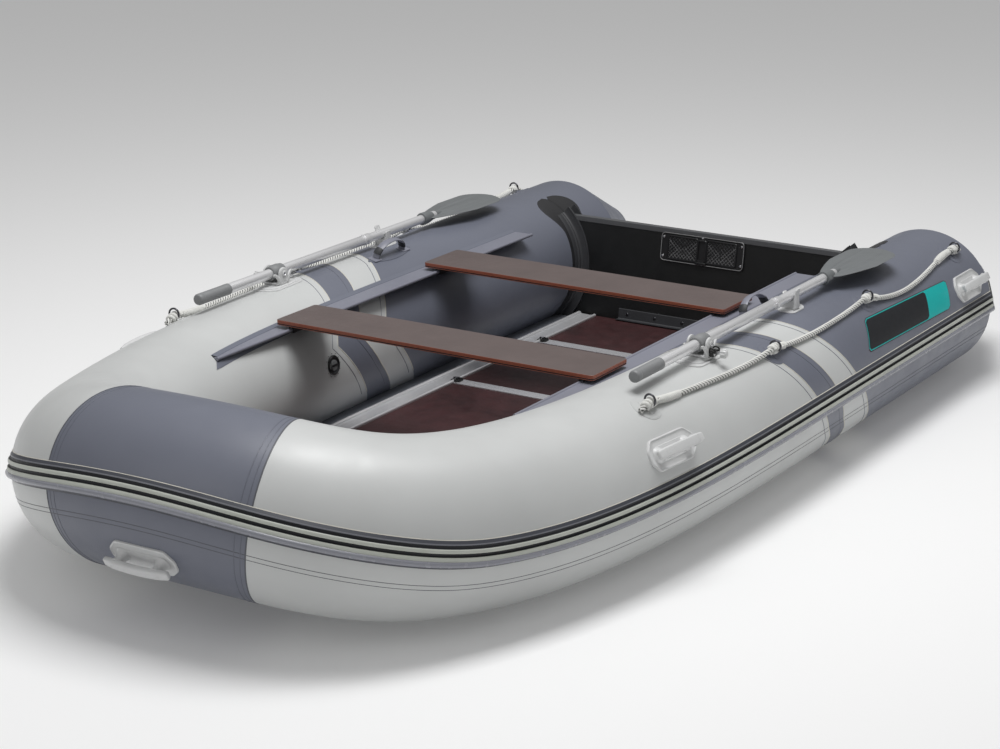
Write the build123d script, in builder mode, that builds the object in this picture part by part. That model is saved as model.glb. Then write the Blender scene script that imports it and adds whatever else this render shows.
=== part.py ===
"""Inflatable boat with a V bottom, plywood floor, plywood transom, bench seats and oars.

Millimetres. +X points to the bow, +Y to port, +Z up. Pieces are modelled with z 0 under the
parallel part of the tubes. Each is then moved a little, so that the saved origin is on the
floor that the boat stands on, at the middle of its length and on its middle plane. Port
pieces are modelled and mirrored to starboard.
"""

import os
from math import cos, radians, sin, sqrt, tan

from build123d import *

os.makedirs("parts", exist_ok=True)

# ---------------------------------------------------------------- air tubes
tube_radius = 238.0
tube_offset = 723.0  # middle plane to the axis of a side tube
cone_start_x = -1500.0  # where the parallel tube ends and the tail cone begins
tail_x = -1846.0  # flat end of the tail cone
tail_radius = 92.0
tail_fall = 20.0  # how far the cone's axis falls to its tail
tail_round = 30.0

bow_start_x = -400.0  # where the side tube begins to turn in
shoulder_run = 1175.0
shoulder_x = 1125.0
quarter_x = 1393.0
quarter_y = 419.0
nose_x = 1603.0  # axis of the tube on the middle plane
nose_half_width = 560.0  # control distance that sets how blunt the bow is
nose_rise = 104.0  # how far the axis climbs from the side tube to the nose
shoulder_dip = 32.0
foremost_share = 0.86  # share of the bow curve up to which it still runs forward
halvings = 40  # steps of a search along the bow curve

origin_x = 7.84  # middle of the whole length, from the tail cones to the bow handle
bow_seam = 0.88  # share of the bow curve where the dark nose panel begins
side_station_count = 20
nose_station_count = 5

# Colour panels: each seam is a slanted cut, further aft on the outside of the tube
seam_slant = 0.88  # run aft for each step outward
dark_band_x = 70.0  # seams where they cross the tube's axis
light_band_x = -75.0
aft_panel_x = -225.0

# ---------------------------------------------------------------- rubbing strake
strake_width = 76.0
strake_base = 7.0
strake_rib_width = 15.0
strake_rib_height = 9.0
strake_rib_pitch = 26.0
strake_angle = 4.0  # height of the strake on the side tube, in degrees round it
strake_angle_nose = 16.5
strake_low_share = 0.55  # share of the bow curve where the strake is lowest, on the tube's axis
strake_end_x = -1815.0  # just ahead of the cone's rounding
glue_line = 0.3

# ---------------------------------------------------------------- bottom
bottom_thickness = 3.0
bottom_edge_height = 80.0  # where the bottom's line runs into the side tube's axis plane
keel_strip_width = 70.0
keel_strip_thickness = 4.0
keel_rise_x = 780.0  # the keel is straight aft of this
keel_rise = 0.00027  # the keel's parabola towards the bow
bottom_nose_x = 1560.0
bottom_overhang = 30.0  # aft of the transom's top edge

# ---------------------------------------------------------------- floor
floor_top = 80.0
board_thickness = 9.0
board_half_width = 452.0
slot_play = 0.3  # between a board and the metal profile that holds its edge
profile_wall = 3.0
profile_width = 46.0
profile_end_gap = 1.0
board_joints = (420.0, -250.0, -800.0)  # middle of each cross profile
floor_front_x = 1180.0
floor_front_half_width = 290.0
floor_taper_run = 260.0  # straight part of the bow board before it narrows
floor_aft_gap = 4.0
stringer_lap = 36.0  # how far a stringer's ledges reach over and under the boards
stringer_width = 54.0
stringer_inner_y = board_half_width - stringer_lap
stringer_outer_y = stringer_inner_y + stringer_width
stringer_base_z = 57.5
stringer_ridge = 7.0
stringer_aft_x = -1170.0
keel_tube_round = 0.9  # rounding of the keel tube's front end, as a share of its radius
seat_gap = 0.3  # between soft or curved faces that rest on each other

# ---------------------------------------------------------------- transom
transom_x = -1236.0  # forward face, at transom_top
transom_top_drop = 52.0  # below the top of the tubes
transom_top = 2 * tube_radius - transom_top_drop
transom_thickness = 36.0
transom_rake = 8.0
transom_cutter_run = 300.0
holder_width = 46.0
holder_thickness = 5.0
holder_length = 62.0
holder_base_z = 66.0
plate_width = 326.0
plate_height = 104.0
plate_thickness = 5.0
plate_corner = 12.0
pad_corner = 8.0
plate_drop = 10.0  # below the transom's top edge
pad_width = 136.0
pad_height = 84.0
pad_thickness = 4.0
outer_plate_height = 190.0
foot_strip_length = 620.0
foot_strip_height = 40.0
foot_strip_depth = 26.0
foot_strip_wall = 3.0

# ---------------------------------------------------------------- seats and rails
seat_depth = 202.0
seat_thickness = 16.0
seat_front_x = 514.0  # forward edge of the front seat
seat_rear_x = -296.0  # forward edge of the rear seat
seat_corner = 12.0
seat_edge_round = 3.0
rail_inset = 218.0  # from the tube's axis in to the rail's bead
rail_drop = 52.0  # bead below the top of the tubes
rail_y = tube_offset - rail_inset
rail_bead_z = 2 * tube_radius - rail_drop
seat_overhang = 46.0  # past the rail's bead
seat_length = 2 * (rail_y + seat_overhang)
seat_rise = 29.0  # seat's top above the bead
seat_top = rail_bead_z + seat_rise
rail_bead_radius = 5.5
rail_web = 3.5
rail_front_x = 860.0
rail_aft_x = -906.0
skin_thickness = 2.0  # cloth bands and patches on the tubes
patch_reach = 40.0  # how deep a patch's outline is carried into the tube before it is cut to the skin
channel_clearance = 0.6
channel_wall = 3.2
channel_length = 170.0

# ---------------------------------------------------------------- oars
oar_outset = 25.0  # outward of the tube's axis
oar_height = 39.0  # above the top of the tubes
oar_y = tube_offset + oar_outset
oar_z = 2 * tube_radius + oar_height
oar_radius = 16.0
oar_grip_x = 640.0
oar_grip_length = 150.0
oar_grip_radius = 17.5
oar_grip_round = 4.0
collar_radius = 25.0
collar_length = 62.0
joint_ring_x = -247.0
joint_ring_radius = 19.0
joint_ring_length = 34.0
rowlock_x = 249.0
pin_radius = 4.0
pin_play = 0.05
cheek_gap = 0.6
collar_drop = 2.4  # room under the collar, whose ends dip as the oar tilts
cheek_thickness = 6.0
cheek_width = 34.0
fork_base_height = 8.0
fork_corner = 4.0
cutter_play = 5.0  # how far a cutting pin runs past what it cuts
rowlock_pad_length = 200.0
rowlock_pad_width = 96.0
pad_rim = 3.0  # top of an oar pad above the tube
pad_sink = 30.0
fork_foot_radius = 30.0
clip_x = -348.0
clip_gap = 0.7
clip_wall = 5.0
clip_length = 26.0
clip_rise = 6.0  # horns above the oar's axis
clip_pad_length = 112.0
clip_pad_width = 62.0
blade_start_x = -616.0
blade_tip_x = -1010.0
blade_width = 165.0
blade_thickness = 7.0
blade_neck = 20.0  # half width where the blade meets the shaft
blade_shoulder_run = 120.0
blade_tip_run = 90.0
blade_corner = 12.0

# ---------------------------------------------------------------- fittings on the tubes
handle_length = 204.0
handle_end = 30.0  # how much the plate's corners are cut
handle_sink = 24.0
handle_post = 24.0
handle_bar_width = 28.0
handle_overhang = 25.0  # of the grip past each post
handle_width = 92.0
handle_base = 6.0
handle_reach = 34.0
handle_bar = 20.0
handle_span = 124.0
front_handle = (676.0, 29.0)  # place along the boat and degrees round the tube
aft_handle = (-1338.0, 27.0)
bow_handle_angle = -29.0
loop_x = -265.0
loop_angle = 103.0
loop_span = 150.0
loop_rise = 42.0
loop_width = 32.0
loop_thickness = 4.0
loop_sink = 2.0
loop_patch_length = 240.0
loop_patch_width = 62.0
ring_places = ((657.0, 62.0), (-4.0, 57.0), (-661.0, 57.0), (-1379.0, 57.0))
ring_patch_radius = 46.0
ring_radius = 17.0
ring_wire = 3.0
ring_tab = 5.5  # from the patch to the middle of a ring's lower wire
ring_tab_width = 22.0
ring_tab_length = 12.0
ring_tab_corner = 3.0
ring_tab_cover = 2.0  # of the tab over a ring's lower wire
rope_radius = 6.0
rope_lift = 8.0
rope_hang = 2.0  # of the rope below the middle of its rings
rope_ease = 0.45  # share of the shorter run that an arc takes up at each end
rope_path = (  # (place along the boat, degrees round the tube, 1 where it goes through a ring)
    (700.0, 60.0, 0),
    (657.0, 62.0, 1),
    (580.0, 60.8, 0),
    (424.0, 59.2, 0),
    (260.0, 57.0, 0),
    (110.0, 56.5, 0),
    (-4.0, 57.0, 1),
    (-110.0, 55.0, 0),
    (-260.0, 53.5, 0),
    (-410.0, 54.0, 0),
    (-560.0, 55.5, 0),
    (-661.0, 57.0, 1),
    (-751.0, 51.0, 0),
    (-894.0, 47.5, 0),
    (-1040.0, 49.5, 0),
    (-1180.0, 53.5, 0),
    (-1290.0, 57.5, 0),
    (-1379.0, 57.0, 1),
    (-1425.0, 55.0, 0),
)
valve_x = 330.0
valve_angle = 172.0
valve_radius = 31.0
valve_rim = 4.0
valve_bore = 22.0
valve_sink = 6.0
valve_cap = 3.0


def save(piece, node):
    """Write a finished piece as the node's STEP file, with the origin on the floor."""
    placed_piece = piece.part.moved(Location((-origin_x, 0, -lowest_z)))
    placed_piece.label = node
    export_step(placed_piece, f"parts/{node}.step")


def slanted(x, slant=seam_slant):
    """Cutting plane across the port tube, with its normal towards the bow."""
    return Plane(origin=(x, tube_offset, tube_radius), z_dir=(1, slant, 0))


# ---------------------------------------------------------------- tube curves
nose_z = tube_radius + nose_rise
with BuildLine() as bow_line:
    Bezier(
        (bow_start_x, tube_offset, tube_radius),
        (bow_start_x + shoulder_run, tube_offset, tube_radius),
        (shoulder_x, tube_offset, tube_radius),
        (quarter_x, quarter_y, tube_radius - shoulder_dip),
        (nose_x, nose_half_width, nose_z),
        (nose_x, 0, nose_z),
    )
bow_curve = bow_line.edge()
curve_samples = 100
lowest_z = min((bow_curve @ (i / curve_samples)).Z for i in range(curve_samples)) - tube_radius


def bow_plane(u):
    """Section plane at a share of the bow curve, local x outward and local y up."""
    along = bow_curve % u
    outward = along.cross(Vector(0, 0, 1)) * -1
    if outward.Y < -1e-6 or (abs(outward.Y) < 1e-6 and outward.X < 0):
        outward = outward * -1
    return Plane(origin=bow_curve @ u, x_dir=outward, z_dir=along)


def turned(section, angle):
    """A section plane turned about the tube's axis by an angle in degrees."""
    outward = section.x_dir * cos(radians(angle)) + section.y_dir * sin(radians(angle))
    return Plane(origin=section.origin, x_dir=outward, z_dir=section.z_dir)


def shares(first, last, count):
    """Evenly spaced shares of the bow curve, both ends included."""
    return [first + (last - first) * i / count for i in range(count + 1)]


# ---------------------------------------------------------------- tube panels
side_stations = shares(0, bow_seam, side_station_count)
nose_stations = shares(bow_seam, 1, nose_station_count)
with BuildPart() as bow_panel:
    for u in nose_stations:
        with BuildSketch(bow_plane(u)):
            Circle(tube_radius)
    loft(ruled=True)
    mirror(about=Plane.XZ)
save(bow_panel, "bow_panel")

with BuildPart() as side_tube:
    for u in side_stations:
        with BuildSketch(bow_plane(u)):
            Circle(tube_radius)
    loft(ruled=True)
    with BuildSketch(bow_plane(0)):
        Circle(tube_radius)
    extrude(amount=cone_start_x - bow_start_x)

panel_seams = {
    "front_panels": (None, dark_band_x),
    "dark_bands": (dark_band_x, light_band_x),
    "light_bands": (light_band_x, aft_panel_x),
    "aft_panels": (aft_panel_x, None),
}
for node, (front_seam, aft_seam) in panel_seams.items():
    with BuildPart() as panel:
        add(side_tube)
        if front_seam is not None:
            split(bisect_by=slanted(front_seam), keep=Keep.BOTTOM)
        if aft_seam is not None:
            split(bisect_by=slanted(aft_seam), keep=Keep.TOP)
        mirror(about=Plane.XZ)
    save(panel, node)

tail_z = tube_radius - tail_fall
cone_start = Plane(origin=(cone_start_x, tube_offset, tube_radius), z_dir=(-1, 0, 0))
tail_end = Plane(origin=(tail_x, tube_offset, tail_z), z_dir=(-1, 0, 0))
with BuildPart() as port_cone:
    with BuildSketch(cone_start):
        Circle(tube_radius)
    with BuildSketch(tail_end):
        Circle(tail_radius)
    loft()
    fillet(port_cone.faces().sort_by(Axis.X)[0].edges(), radius=tail_round)
with BuildPart() as tail_cones:
    add(port_cone)
    mirror(about=Plane.XZ)
save(tail_cones, "tail_cones")

tube_solids = [bow_panel.part, side_tube.part, port_cone.part]


# ---------------------------------------------------------------- rubbing strake
def strake_section(plane, radius):
    """Ribbed section on a tube of one radius. Its base lies on the tube's skin."""
    half = strake_width / 2
    skin = radius + glue_line
    edge = sqrt(skin**2 - half**2)
    crown = radius + strake_base
    points = [(edge, -half), (crown, -half + strake_base)]
    for middle in (-strake_rib_pitch / 2, strake_rib_pitch / 2):
        side = strake_rib_width / 2
        points += [
            (crown, middle - side),
            (crown + strake_rib_height, middle - side / 2),
            (crown + strake_rib_height, middle + side / 2),
            (crown, middle + side),
        ]
    points += [(crown, half - strake_base), (edge, half)]
    with BuildSketch(plane) as section:
        with BuildLine():
            Polyline(*points)
            ThreePointArc(points[-1], (skin, 0), points[0])
        make_face()
    return section.sketch


def eased(share):
    """Share of a smooth step from 0 to 1."""
    held = min(1.0, max(0.0, share))
    return held**2 * (3 - 2 * held)


def strake_plane(u):
    """Section plane of the strake, which dips at the shoulder and climbs to the nose."""
    dip = strake_angle * (1 - eased(u / strake_low_share))
    climb = strake_angle_nose * eased((u - strake_low_share) / (1 - strake_low_share))
    return turned(bow_plane(u), dip + climb)


with BuildPart() as strake_bow:
    for u in nose_stations:
        add(strake_section(strake_plane(u), tube_radius))
    loft(ruled=True)
    mirror(about=Plane.XZ)
save(strake_bow, "strake_bow")

with BuildPart() as strake_sides:
    for u in side_stations:
        add(strake_section(strake_plane(u), tube_radius))
    loft(ruled=True)
    extrude(
        strake_section(strake_plane(0), tube_radius),
        amount=bow_start_x - cone_start_x,
        dir=(-1, 0, 0),
    )
    strake_port = strake_sides.part
    mirror(about=Plane.XZ)
save(strake_sides, "strake_sides")

cone_share = (strake_end_x - cone_start_x) / (tail_x - cone_start_x)
strake_end_radius = tube_radius + (tail_radius - tube_radius) * cone_share
strake_end_z = tube_radius - tail_fall * cone_share
with BuildPart() as strake_tails:
    for x, z, radius in (
        (cone_start_x, tube_radius, tube_radius),
        (strake_end_x, strake_end_z, strake_end_radius),
    ):
        section = Plane(origin=(x, tube_offset, z), x_dir=(0, 1, 0), z_dir=(1, 0, 0))
        add(strake_section(turned(section, strake_angle), radius))
    loft(ruled=True)
    add(port_cone, mode=Mode.SUBTRACT)
    mirror(about=Plane.XZ)
save(strake_tails, "strake_tails")


# ---------------------------------------------------------------- bottom and keel
def curve_share(x):
    """Share of the bow curve at a place along the boat, by halving."""
    low, high = 0.0, foremost_share
    for _ in range(halvings):
        middle = (low + high) / 2
        if (bow_curve @ middle).X < x:
            low = middle
        else:
            high = middle
    return low


def keel_z(x):
    """Underside of the bottom fabric on the middle plane."""
    return keel_strip_thickness + keel_rise * max(0.0, x - keel_rise_x) ** 2


def bottom_line(x):
    """Middle and outer end of the bottom's V at a place along the boat, as (y, z) pairs."""
    if x <= bow_start_x:
        axis_y, axis_z = tube_offset, tube_radius
    else:
        axis = bow_curve @ curve_share(x)
        axis_y, axis_z = axis.Y, axis.Z
    return (0, keel_z(x)), (axis_y, axis_z - tube_radius + bottom_edge_height)


def v_section(x, thickness, half_width=None, below=False):
    """Port half of the bottom's V: above its line, or below it for the keel strip."""
    (_, middle_z), (edge_y, edge_z) = bottom_line(x)
    if half_width is not None:
        edge_z = middle_z + (edge_z - middle_z) * half_width / edge_y
        edge_y = half_width
    step = -thickness if below else thickness
    with BuildSketch(Plane(origin=(x, 0, 0), x_dir=(0, 1, 0), z_dir=(1, 0, 0))) as section:
        with BuildLine():
            Polyline(
                (0, middle_z),
                (edge_y, edge_z),
                (edge_y, edge_z + step),
                (0, middle_z + step),
                close=True,
            )
        make_face()
    return section.sketch


bottom_aft_x = transom_x - bottom_overhang
straight_stations = (bottom_aft_x, bow_start_x, 200.0, keel_rise_x)
curved_stations = (keel_rise_x, 900.0, 1020.0, 1140.0, 1250.0, 1350.0, 1430.0, 1500.0, bottom_nose_x)
with BuildPart() as bottom:
    for x in straight_stations:
        add(v_section(x, bottom_thickness))
    loft(ruled=True)
    for x in curved_stations:
        add(v_section(x, bottom_thickness))
    loft(ruled=True)
    for solid in tube_solids:
        add(solid, mode=Mode.SUBTRACT)
    bottom_half = bottom.part
    mirror(about=Plane.XZ)
save(bottom, "bottom_fabric")

with BuildPart() as keel_strip:
    for x in straight_stations:
        add(v_section(x, keel_strip_thickness, keel_strip_width / 2, below=True))
    loft(ruled=True)
    for x in curved_stations:
        add(v_section(x, keel_strip_thickness, keel_strip_width / 2, below=True))
    loft(ruled=True)
    for solid in [*tube_solids, bottom_half]:
        add(solid, mode=Mode.SUBTRACT)
    mirror(about=Plane.XZ)
save(keel_strip, "keel_strip")

# The inflated keel lies between the bottom and the floor boards
keel_tube_base = keel_strip_thickness + bottom_thickness + seat_gap
keel_tube_top = floor_top - board_thickness - slot_play - profile_wall - seat_gap
keel_tube_radius = (keel_tube_top - keel_tube_base) / 2
keel_tube_aft_x = stringer_aft_x
with BuildPart() as keel_tube:
    with BuildSketch(Plane(origin=(keel_tube_aft_x, 0, keel_tube_base + keel_tube_radius), z_dir=(1, 0, 0))):
        Circle(keel_tube_radius)
    extrude(amount=keel_rise_x - keel_tube_aft_x)
    fillet(keel_tube.faces().sort_by(Axis.X)[-1].edges(), radius=keel_tube_radius * keel_tube_round)
save(keel_tube, "keel_tube")

# ---------------------------------------------------------------- floor boards
board_base = floor_top - board_thickness
transom_slope = tan(radians(transom_rake))
floor_aft_x = transom_x + (transom_top - floor_top) * transom_slope + floor_aft_gap
half_web = profile_wall / 2 + slot_play
board_ends = [(joint - half_web, joint + half_web) for joint in board_joints]
board_spans = {
    "floor_board_bow": (board_ends[0][1], floor_front_x),
    "floor_board_front": (board_ends[1][1], board_ends[0][0]),
    "floor_board_middle": (board_ends[2][1], board_ends[1][0]),
    "floor_board_aft": (floor_aft_x, board_ends[2][0]),
}
for node, (aft_x, front_x) in board_spans.items():
    with BuildPart() as board:
        with BuildSketch(Plane.XY.offset(board_base)):
            if front_x == floor_front_x:
                with BuildLine():
                    Polyline(
                        (aft_x, -board_half_width),
                        (aft_x + floor_taper_run, -board_half_width),
                        (front_x, -floor_front_half_width),
                        (front_x, floor_front_half_width),
                        (aft_x + floor_taper_run, board_half_width),
                        (aft_x, board_half_width),
                        close=True,
                    )
                make_face()
            else:
                with Locations(((aft_x + front_x) / 2, 0)):
                    Rectangle(front_x - aft_x, 2 * board_half_width)
        extrude(amount=board_thickness)
    save(board, node)

# Cross profiles: an H that holds the ends of two boards
profile_half = stringer_inner_y - profile_end_gap
with BuildPart() as cross_profiles:
    for joint in board_joints:
        flange_z = board_thickness / 2 + slot_play + profile_wall / 2
        end_point = (joint, -profile_half, floor_top - board_thickness / 2)
        with BuildSketch(Plane(origin=end_point, x_dir=(1, 0, 0), z_dir=(0, 1, 0))):
            Rectangle(profile_wall, board_thickness + 2 * slot_play)
            with Locations((0, flange_z), (0, -flange_z)):
                Rectangle(profile_width, profile_wall)
        extrude(amount=2 * profile_half)
save(cross_profiles, "cross_profiles")

# Side stringers: a channel over the boards' edges, with a ridge on its outer side
stringer_top = floor_top + slot_play + profile_wall
channel_y = board_half_width + slot_play
with BuildPart() as stringers:
    with BuildSketch(Plane(origin=(stringer_aft_x, 0, 0), x_dir=(0, 1, 0), z_dir=(1, 0, 0))):
        with BuildLine():
            Polyline(
                (stringer_inner_y, floor_top + slot_play),
                (channel_y, floor_top + slot_play),
                (channel_y, board_base - slot_play),
                (stringer_inner_y, board_base - slot_play),
                (stringer_inner_y, board_base - slot_play - profile_wall),
                (channel_y, board_base - slot_play - profile_wall),
                (channel_y, stringer_base_z),
                (stringer_outer_y, stringer_base_z),
                (stringer_outer_y, stringer_top + stringer_ridge),
                (channel_y, stringer_top + stringer_ridge),
                (channel_y, stringer_top),
                (stringer_inner_y, stringer_top),
                close=True,
            )
        make_face()
    extrude(amount=board_ends[0][1] - stringer_aft_x)
    mirror(about=Plane.XZ)
save(stringers, "floor_stringers")

# ---------------------------------------------------------------- transom
# Its faces lean aft by the rake. Plates and holders are placed on the leaning planes.
lean = radians(transom_rake)
transom_forward = Plane(origin=(transom_x, 0, transom_top), x_dir=(0, 1, 0), z_dir=(cos(lean), 0, sin(lean)))
transom_edge_z = bottom_edge_height + bottom_thickness + seat_gap
transom_foot_z = keel_strip_thickness + bottom_thickness + seat_gap


def down_face(z):
    """Distance down the leaning face from the top edge to a height."""
    return (transom_top - z) / cos(lean)


port_bore = Plane(origin=(bow_start_x, tube_offset, tube_radius), z_dir=(-1, 0, 0))
bore_length = bow_start_x - cone_start_x
with BuildPart() as transom:
    with BuildSketch(transom_forward):
        with Locations((tube_offset / 2, -transom_top / 2)):
            Rectangle(tube_offset, transom_top)
    extrude(amount=-transom_thickness)
    with BuildSketch(port_bore):
        Circle(tube_radius)
    extrude(amount=bore_length, mode=Mode.SUBTRACT)
    foot_point = (transom_x + transom_cutter_run / 2, 0, 0)
    with BuildSketch(Plane(origin=foot_point, x_dir=(0, -1, 0), z_dir=(-1, 0, 0))):
        with BuildLine():
            Polyline(
                (0, transom_foot_z),
                (-tube_offset, transom_edge_z),
                (-tube_offset, -transom_top),
                (0, -transom_top),
                close=True,
            )
        make_face()
    extrude(amount=transom_cutter_run, mode=Mode.SUBTRACT)
    mirror(about=Plane.XZ)
save(transom, "transom")

# Holders: an angle on each face of the transom that follows the tube


def holder(face, outward):
    """Angle against a leaning face: one leg on the board, one along the tube."""
    beyond, before = (Keep.TOP, Keep.BOTTOM) if outward > 0 else (Keep.BOTTOM, Keep.TOP)
    with BuildPart() as angle:
        with BuildSketch(port_bore):
            Circle(tube_radius + holder_width)
            Circle(tube_radius, mode=Mode.SUBTRACT)
        extrude(amount=bore_length)
        split(bisect_by=face, keep=beyond)
        split(bisect_by=face.offset(outward * holder_thickness), keep=before)
    with BuildPart() as leg:
        with BuildSketch(port_bore):
            Circle(tube_radius + holder_thickness)
            Circle(tube_radius, mode=Mode.SUBTRACT)
        extrude(amount=bore_length)
        split(bisect_by=face, keep=beyond)
        split(bisect_by=face.offset(outward * holder_length), keep=before)
    with BuildPart() as whole:
        add(angle)
        add(leg)
        with BuildSketch(Plane.XY.offset(holder_base_z)):
            with Locations((cone_start_x / 2 + bow_start_x / 2, tube_offset / 2)):
                Rectangle(bore_length + 2 * cutter_play, tube_offset)
        extrude(amount=transom_top - holder_base_z, mode=Mode.INTERSECT)
    return whole.part


transom_aft = transom_forward.offset(-transom_thickness)
with BuildPart() as transom_holders:
    add(holder(transom_forward, 1))
    add(holder(transom_aft, -1))
    mirror(about=Plane.XZ)
save(transom_holders, "transom_holders")

# Motor plates: the inner one has two raised pads
plate_middle = -(plate_drop + plate_height / 2)
with BuildPart() as motor_plate_inner:
    with BuildSketch(transom_forward):
        with Locations((0, plate_middle)):
            RectangleRounded(plate_width, plate_height, plate_corner)
    extrude(amount=plate_thickness)
    with BuildSketch(transom_forward.offset(plate_thickness)):
        with Locations(*[(side * plate_width / 4, plate_middle) for side in (-1, 1)]):
            RectangleRounded(pad_width, pad_height, pad_corner)
    extrude(amount=pad_thickness)
save(motor_plate_inner, "motor_plate_inner")

outer_middle = -(plate_drop + outer_plate_height / 2)
with BuildPart() as motor_plate_outer:
    with BuildSketch(transom_aft):
        with Locations((0, outer_middle)):
            RectangleRounded(plate_width, outer_plate_height, plate_corner)
    extrude(amount=-plate_thickness)
save(motor_plate_outer, "motor_plate_outer")

# Foot strip: a metal angle that ties the floor to the transom
foot_v = -down_face(floor_top + seat_gap)
with BuildPart() as foot_strip:
    with BuildSketch(transom_forward):
        with Locations((0, foot_v + foot_strip_height / 2)):
            Rectangle(foot_strip_length, foot_strip_height)
    extrude(amount=foot_strip_wall)
save(foot_strip, "transom_foot_strip")

# ---------------------------------------------------------------- places on the side tubes
def skin_plane(x, angle, lift=0.0):
    """Plane that touches the port tube: local x along it, local z out of it."""
    if x <= bow_start_x:
        centre, along = Vector(x, tube_offset, tube_radius), Vector(1, 0, 0)
        outward = Vector(0, 1, 0)
    else:
        section = bow_plane(curve_share(x))
        centre, along, outward = section.origin, section.z_dir, section.x_dir
    up = along.cross(outward)
    radial = outward * cos(radians(angle)) + up * sin(radians(angle))
    return Plane(origin=centre + radial * (tube_radius + lift), x_dir=along, z_dir=radial)


with BuildPart() as skin_tube:
    for u in side_stations:
        with BuildSketch(bow_plane(u)):
            Circle(tube_radius + skin_thickness)
    loft(ruled=True)
    with BuildSketch(bow_plane(0)):
        Circle(tube_radius + skin_thickness)
    extrude(amount=cone_start_x - bow_start_x)


def patch(outlines):
    """Cloth patches: outlines given as (plane, sketch) are raised and cut to the tube's skin."""
    with BuildPart() as raised:
        for plane, outline in outlines:
            with BuildSketch(plane.offset(-patch_reach)):
                add(outline)
            extrude(amount=patch_reach + cutter_play)
    with BuildPart() as cloth:
        add(raised)
        add(skin_tube, mode=Mode.INTERSECT)
        add(side_tube, mode=Mode.SUBTRACT)
    return cloth.part


# ---------------------------------------------------------------- seat rails
with BuildPart() as seat_rails:
    with BuildSketch(Plane(origin=(rail_aft_x, 0, 0), x_dir=(0, 1, 0), z_dir=(1, 0, 0))):
        with Locations((rail_y, rail_bead_z)):
            Circle(rail_bead_radius)
        with Locations(((rail_y + tube_offset) / 2, rail_bead_z)):
            Rectangle(tube_offset - rail_y, rail_web)
    extrude(amount=rail_front_x - rail_aft_x)
    add(side_tube, mode=Mode.SUBTRACT)
    mirror(about=Plane.XZ)
save(seat_rails, "seat_rails")

# ---------------------------------------------------------------- seats
seat_base = seat_top - seat_thickness
channel_outer = rail_bead_radius + channel_clearance + channel_wall
for name, front_x in (("front", seat_front_x), ("rear", seat_rear_x)):
    middle_x = front_x - seat_depth / 2
    with BuildPart() as seat_board:
        with BuildSketch(Plane.XY.offset(seat_base)):
            with Locations((middle_x, 0)):
                RectangleRounded(seat_depth, seat_length, seat_corner)
        extrude(amount=seat_thickness)
        fillet(seat_board.faces().sort_by(Axis.Z)[-1].edges(), radius=seat_edge_round)
    save(seat_board, f"seat_{name}_board")
    with BuildPart() as seat_channels:
        channel_end = (middle_x - channel_length / 2, 0, 0)
        with BuildSketch(Plane(origin=channel_end, x_dir=(0, 1, 0), z_dir=(1, 0, 0))):
            with Locations((rail_y, (rail_bead_z - channel_outer + seat_base) / 2)):
                Rectangle(2 * channel_outer, seat_base - rail_bead_z + channel_outer)
            with Locations((rail_y, rail_bead_z)):
                Circle(rail_bead_radius + channel_clearance, mode=Mode.SUBTRACT)
            with Locations((rail_y + channel_outer, rail_bead_z)):
                Rectangle(2 * channel_outer, rail_web + 2 * channel_clearance, mode=Mode.SUBTRACT)
        extrude(amount=channel_length)
        mirror(about=Plane.XZ)
    save(seat_channels, f"seat_{name}_channels")

# ---------------------------------------------------------------- rowlocks and oars
tube_top = 2 * tube_radius
fork_base_z = oar_z - collar_radius - collar_drop - fork_base_height
cheek_y = collar_radius + cheek_gap + cheek_thickness / 2
with BuildPart() as rowlock_bases:
    with BuildSketch(Plane(origin=(rowlock_x, oar_y, tube_top - pad_sink))):
        SlotOverall(rowlock_pad_length, rowlock_pad_width)
    extrude(amount=pad_sink + pad_rim)
    with BuildSketch(Plane(origin=(rowlock_x, oar_y, tube_top - pad_sink))):
        Circle(fork_foot_radius)
    extrude(amount=fork_base_z - tube_top + pad_sink)
    add(side_tube, mode=Mode.SUBTRACT)
    mirror(about=Plane.XZ)
save(rowlock_bases, "rowlock_bases")

with BuildPart() as rowlock_forks:
    with BuildSketch(Plane(origin=(rowlock_x, oar_y, fork_base_z))):
        RectangleRounded(cheek_width, 2 * (cheek_y + cheek_thickness / 2), fork_corner)
    extrude(amount=fork_base_height)
    for side in (-1, 1):
        cheek_foot = (rowlock_x, oar_y + side * cheek_y + cheek_thickness / 2, fork_base_z)
        with BuildSketch(Plane(origin=cheek_foot, x_dir=(1, 0, 0), z_dir=(0, -1, 0))):
            with Locations((0, (oar_z - fork_base_z) / 2)):
                Rectangle(cheek_width, oar_z - fork_base_z)
            with Locations((0, oar_z - fork_base_z)):
                Circle(cheek_width / 2)
        extrude(amount=cheek_thickness)
    pin_end = (rowlock_x, oar_y - cheek_y - cheek_thickness, oar_z)
    with BuildSketch(Plane(origin=pin_end, x_dir=(1, 0, 0), z_dir=(0, 1, 0))):
        Circle(pin_radius)
    extrude(amount=2 * (cheek_y + cheek_thickness))
    mirror(about=Plane.XZ)
save(rowlock_forks, "rowlock_forks")

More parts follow.
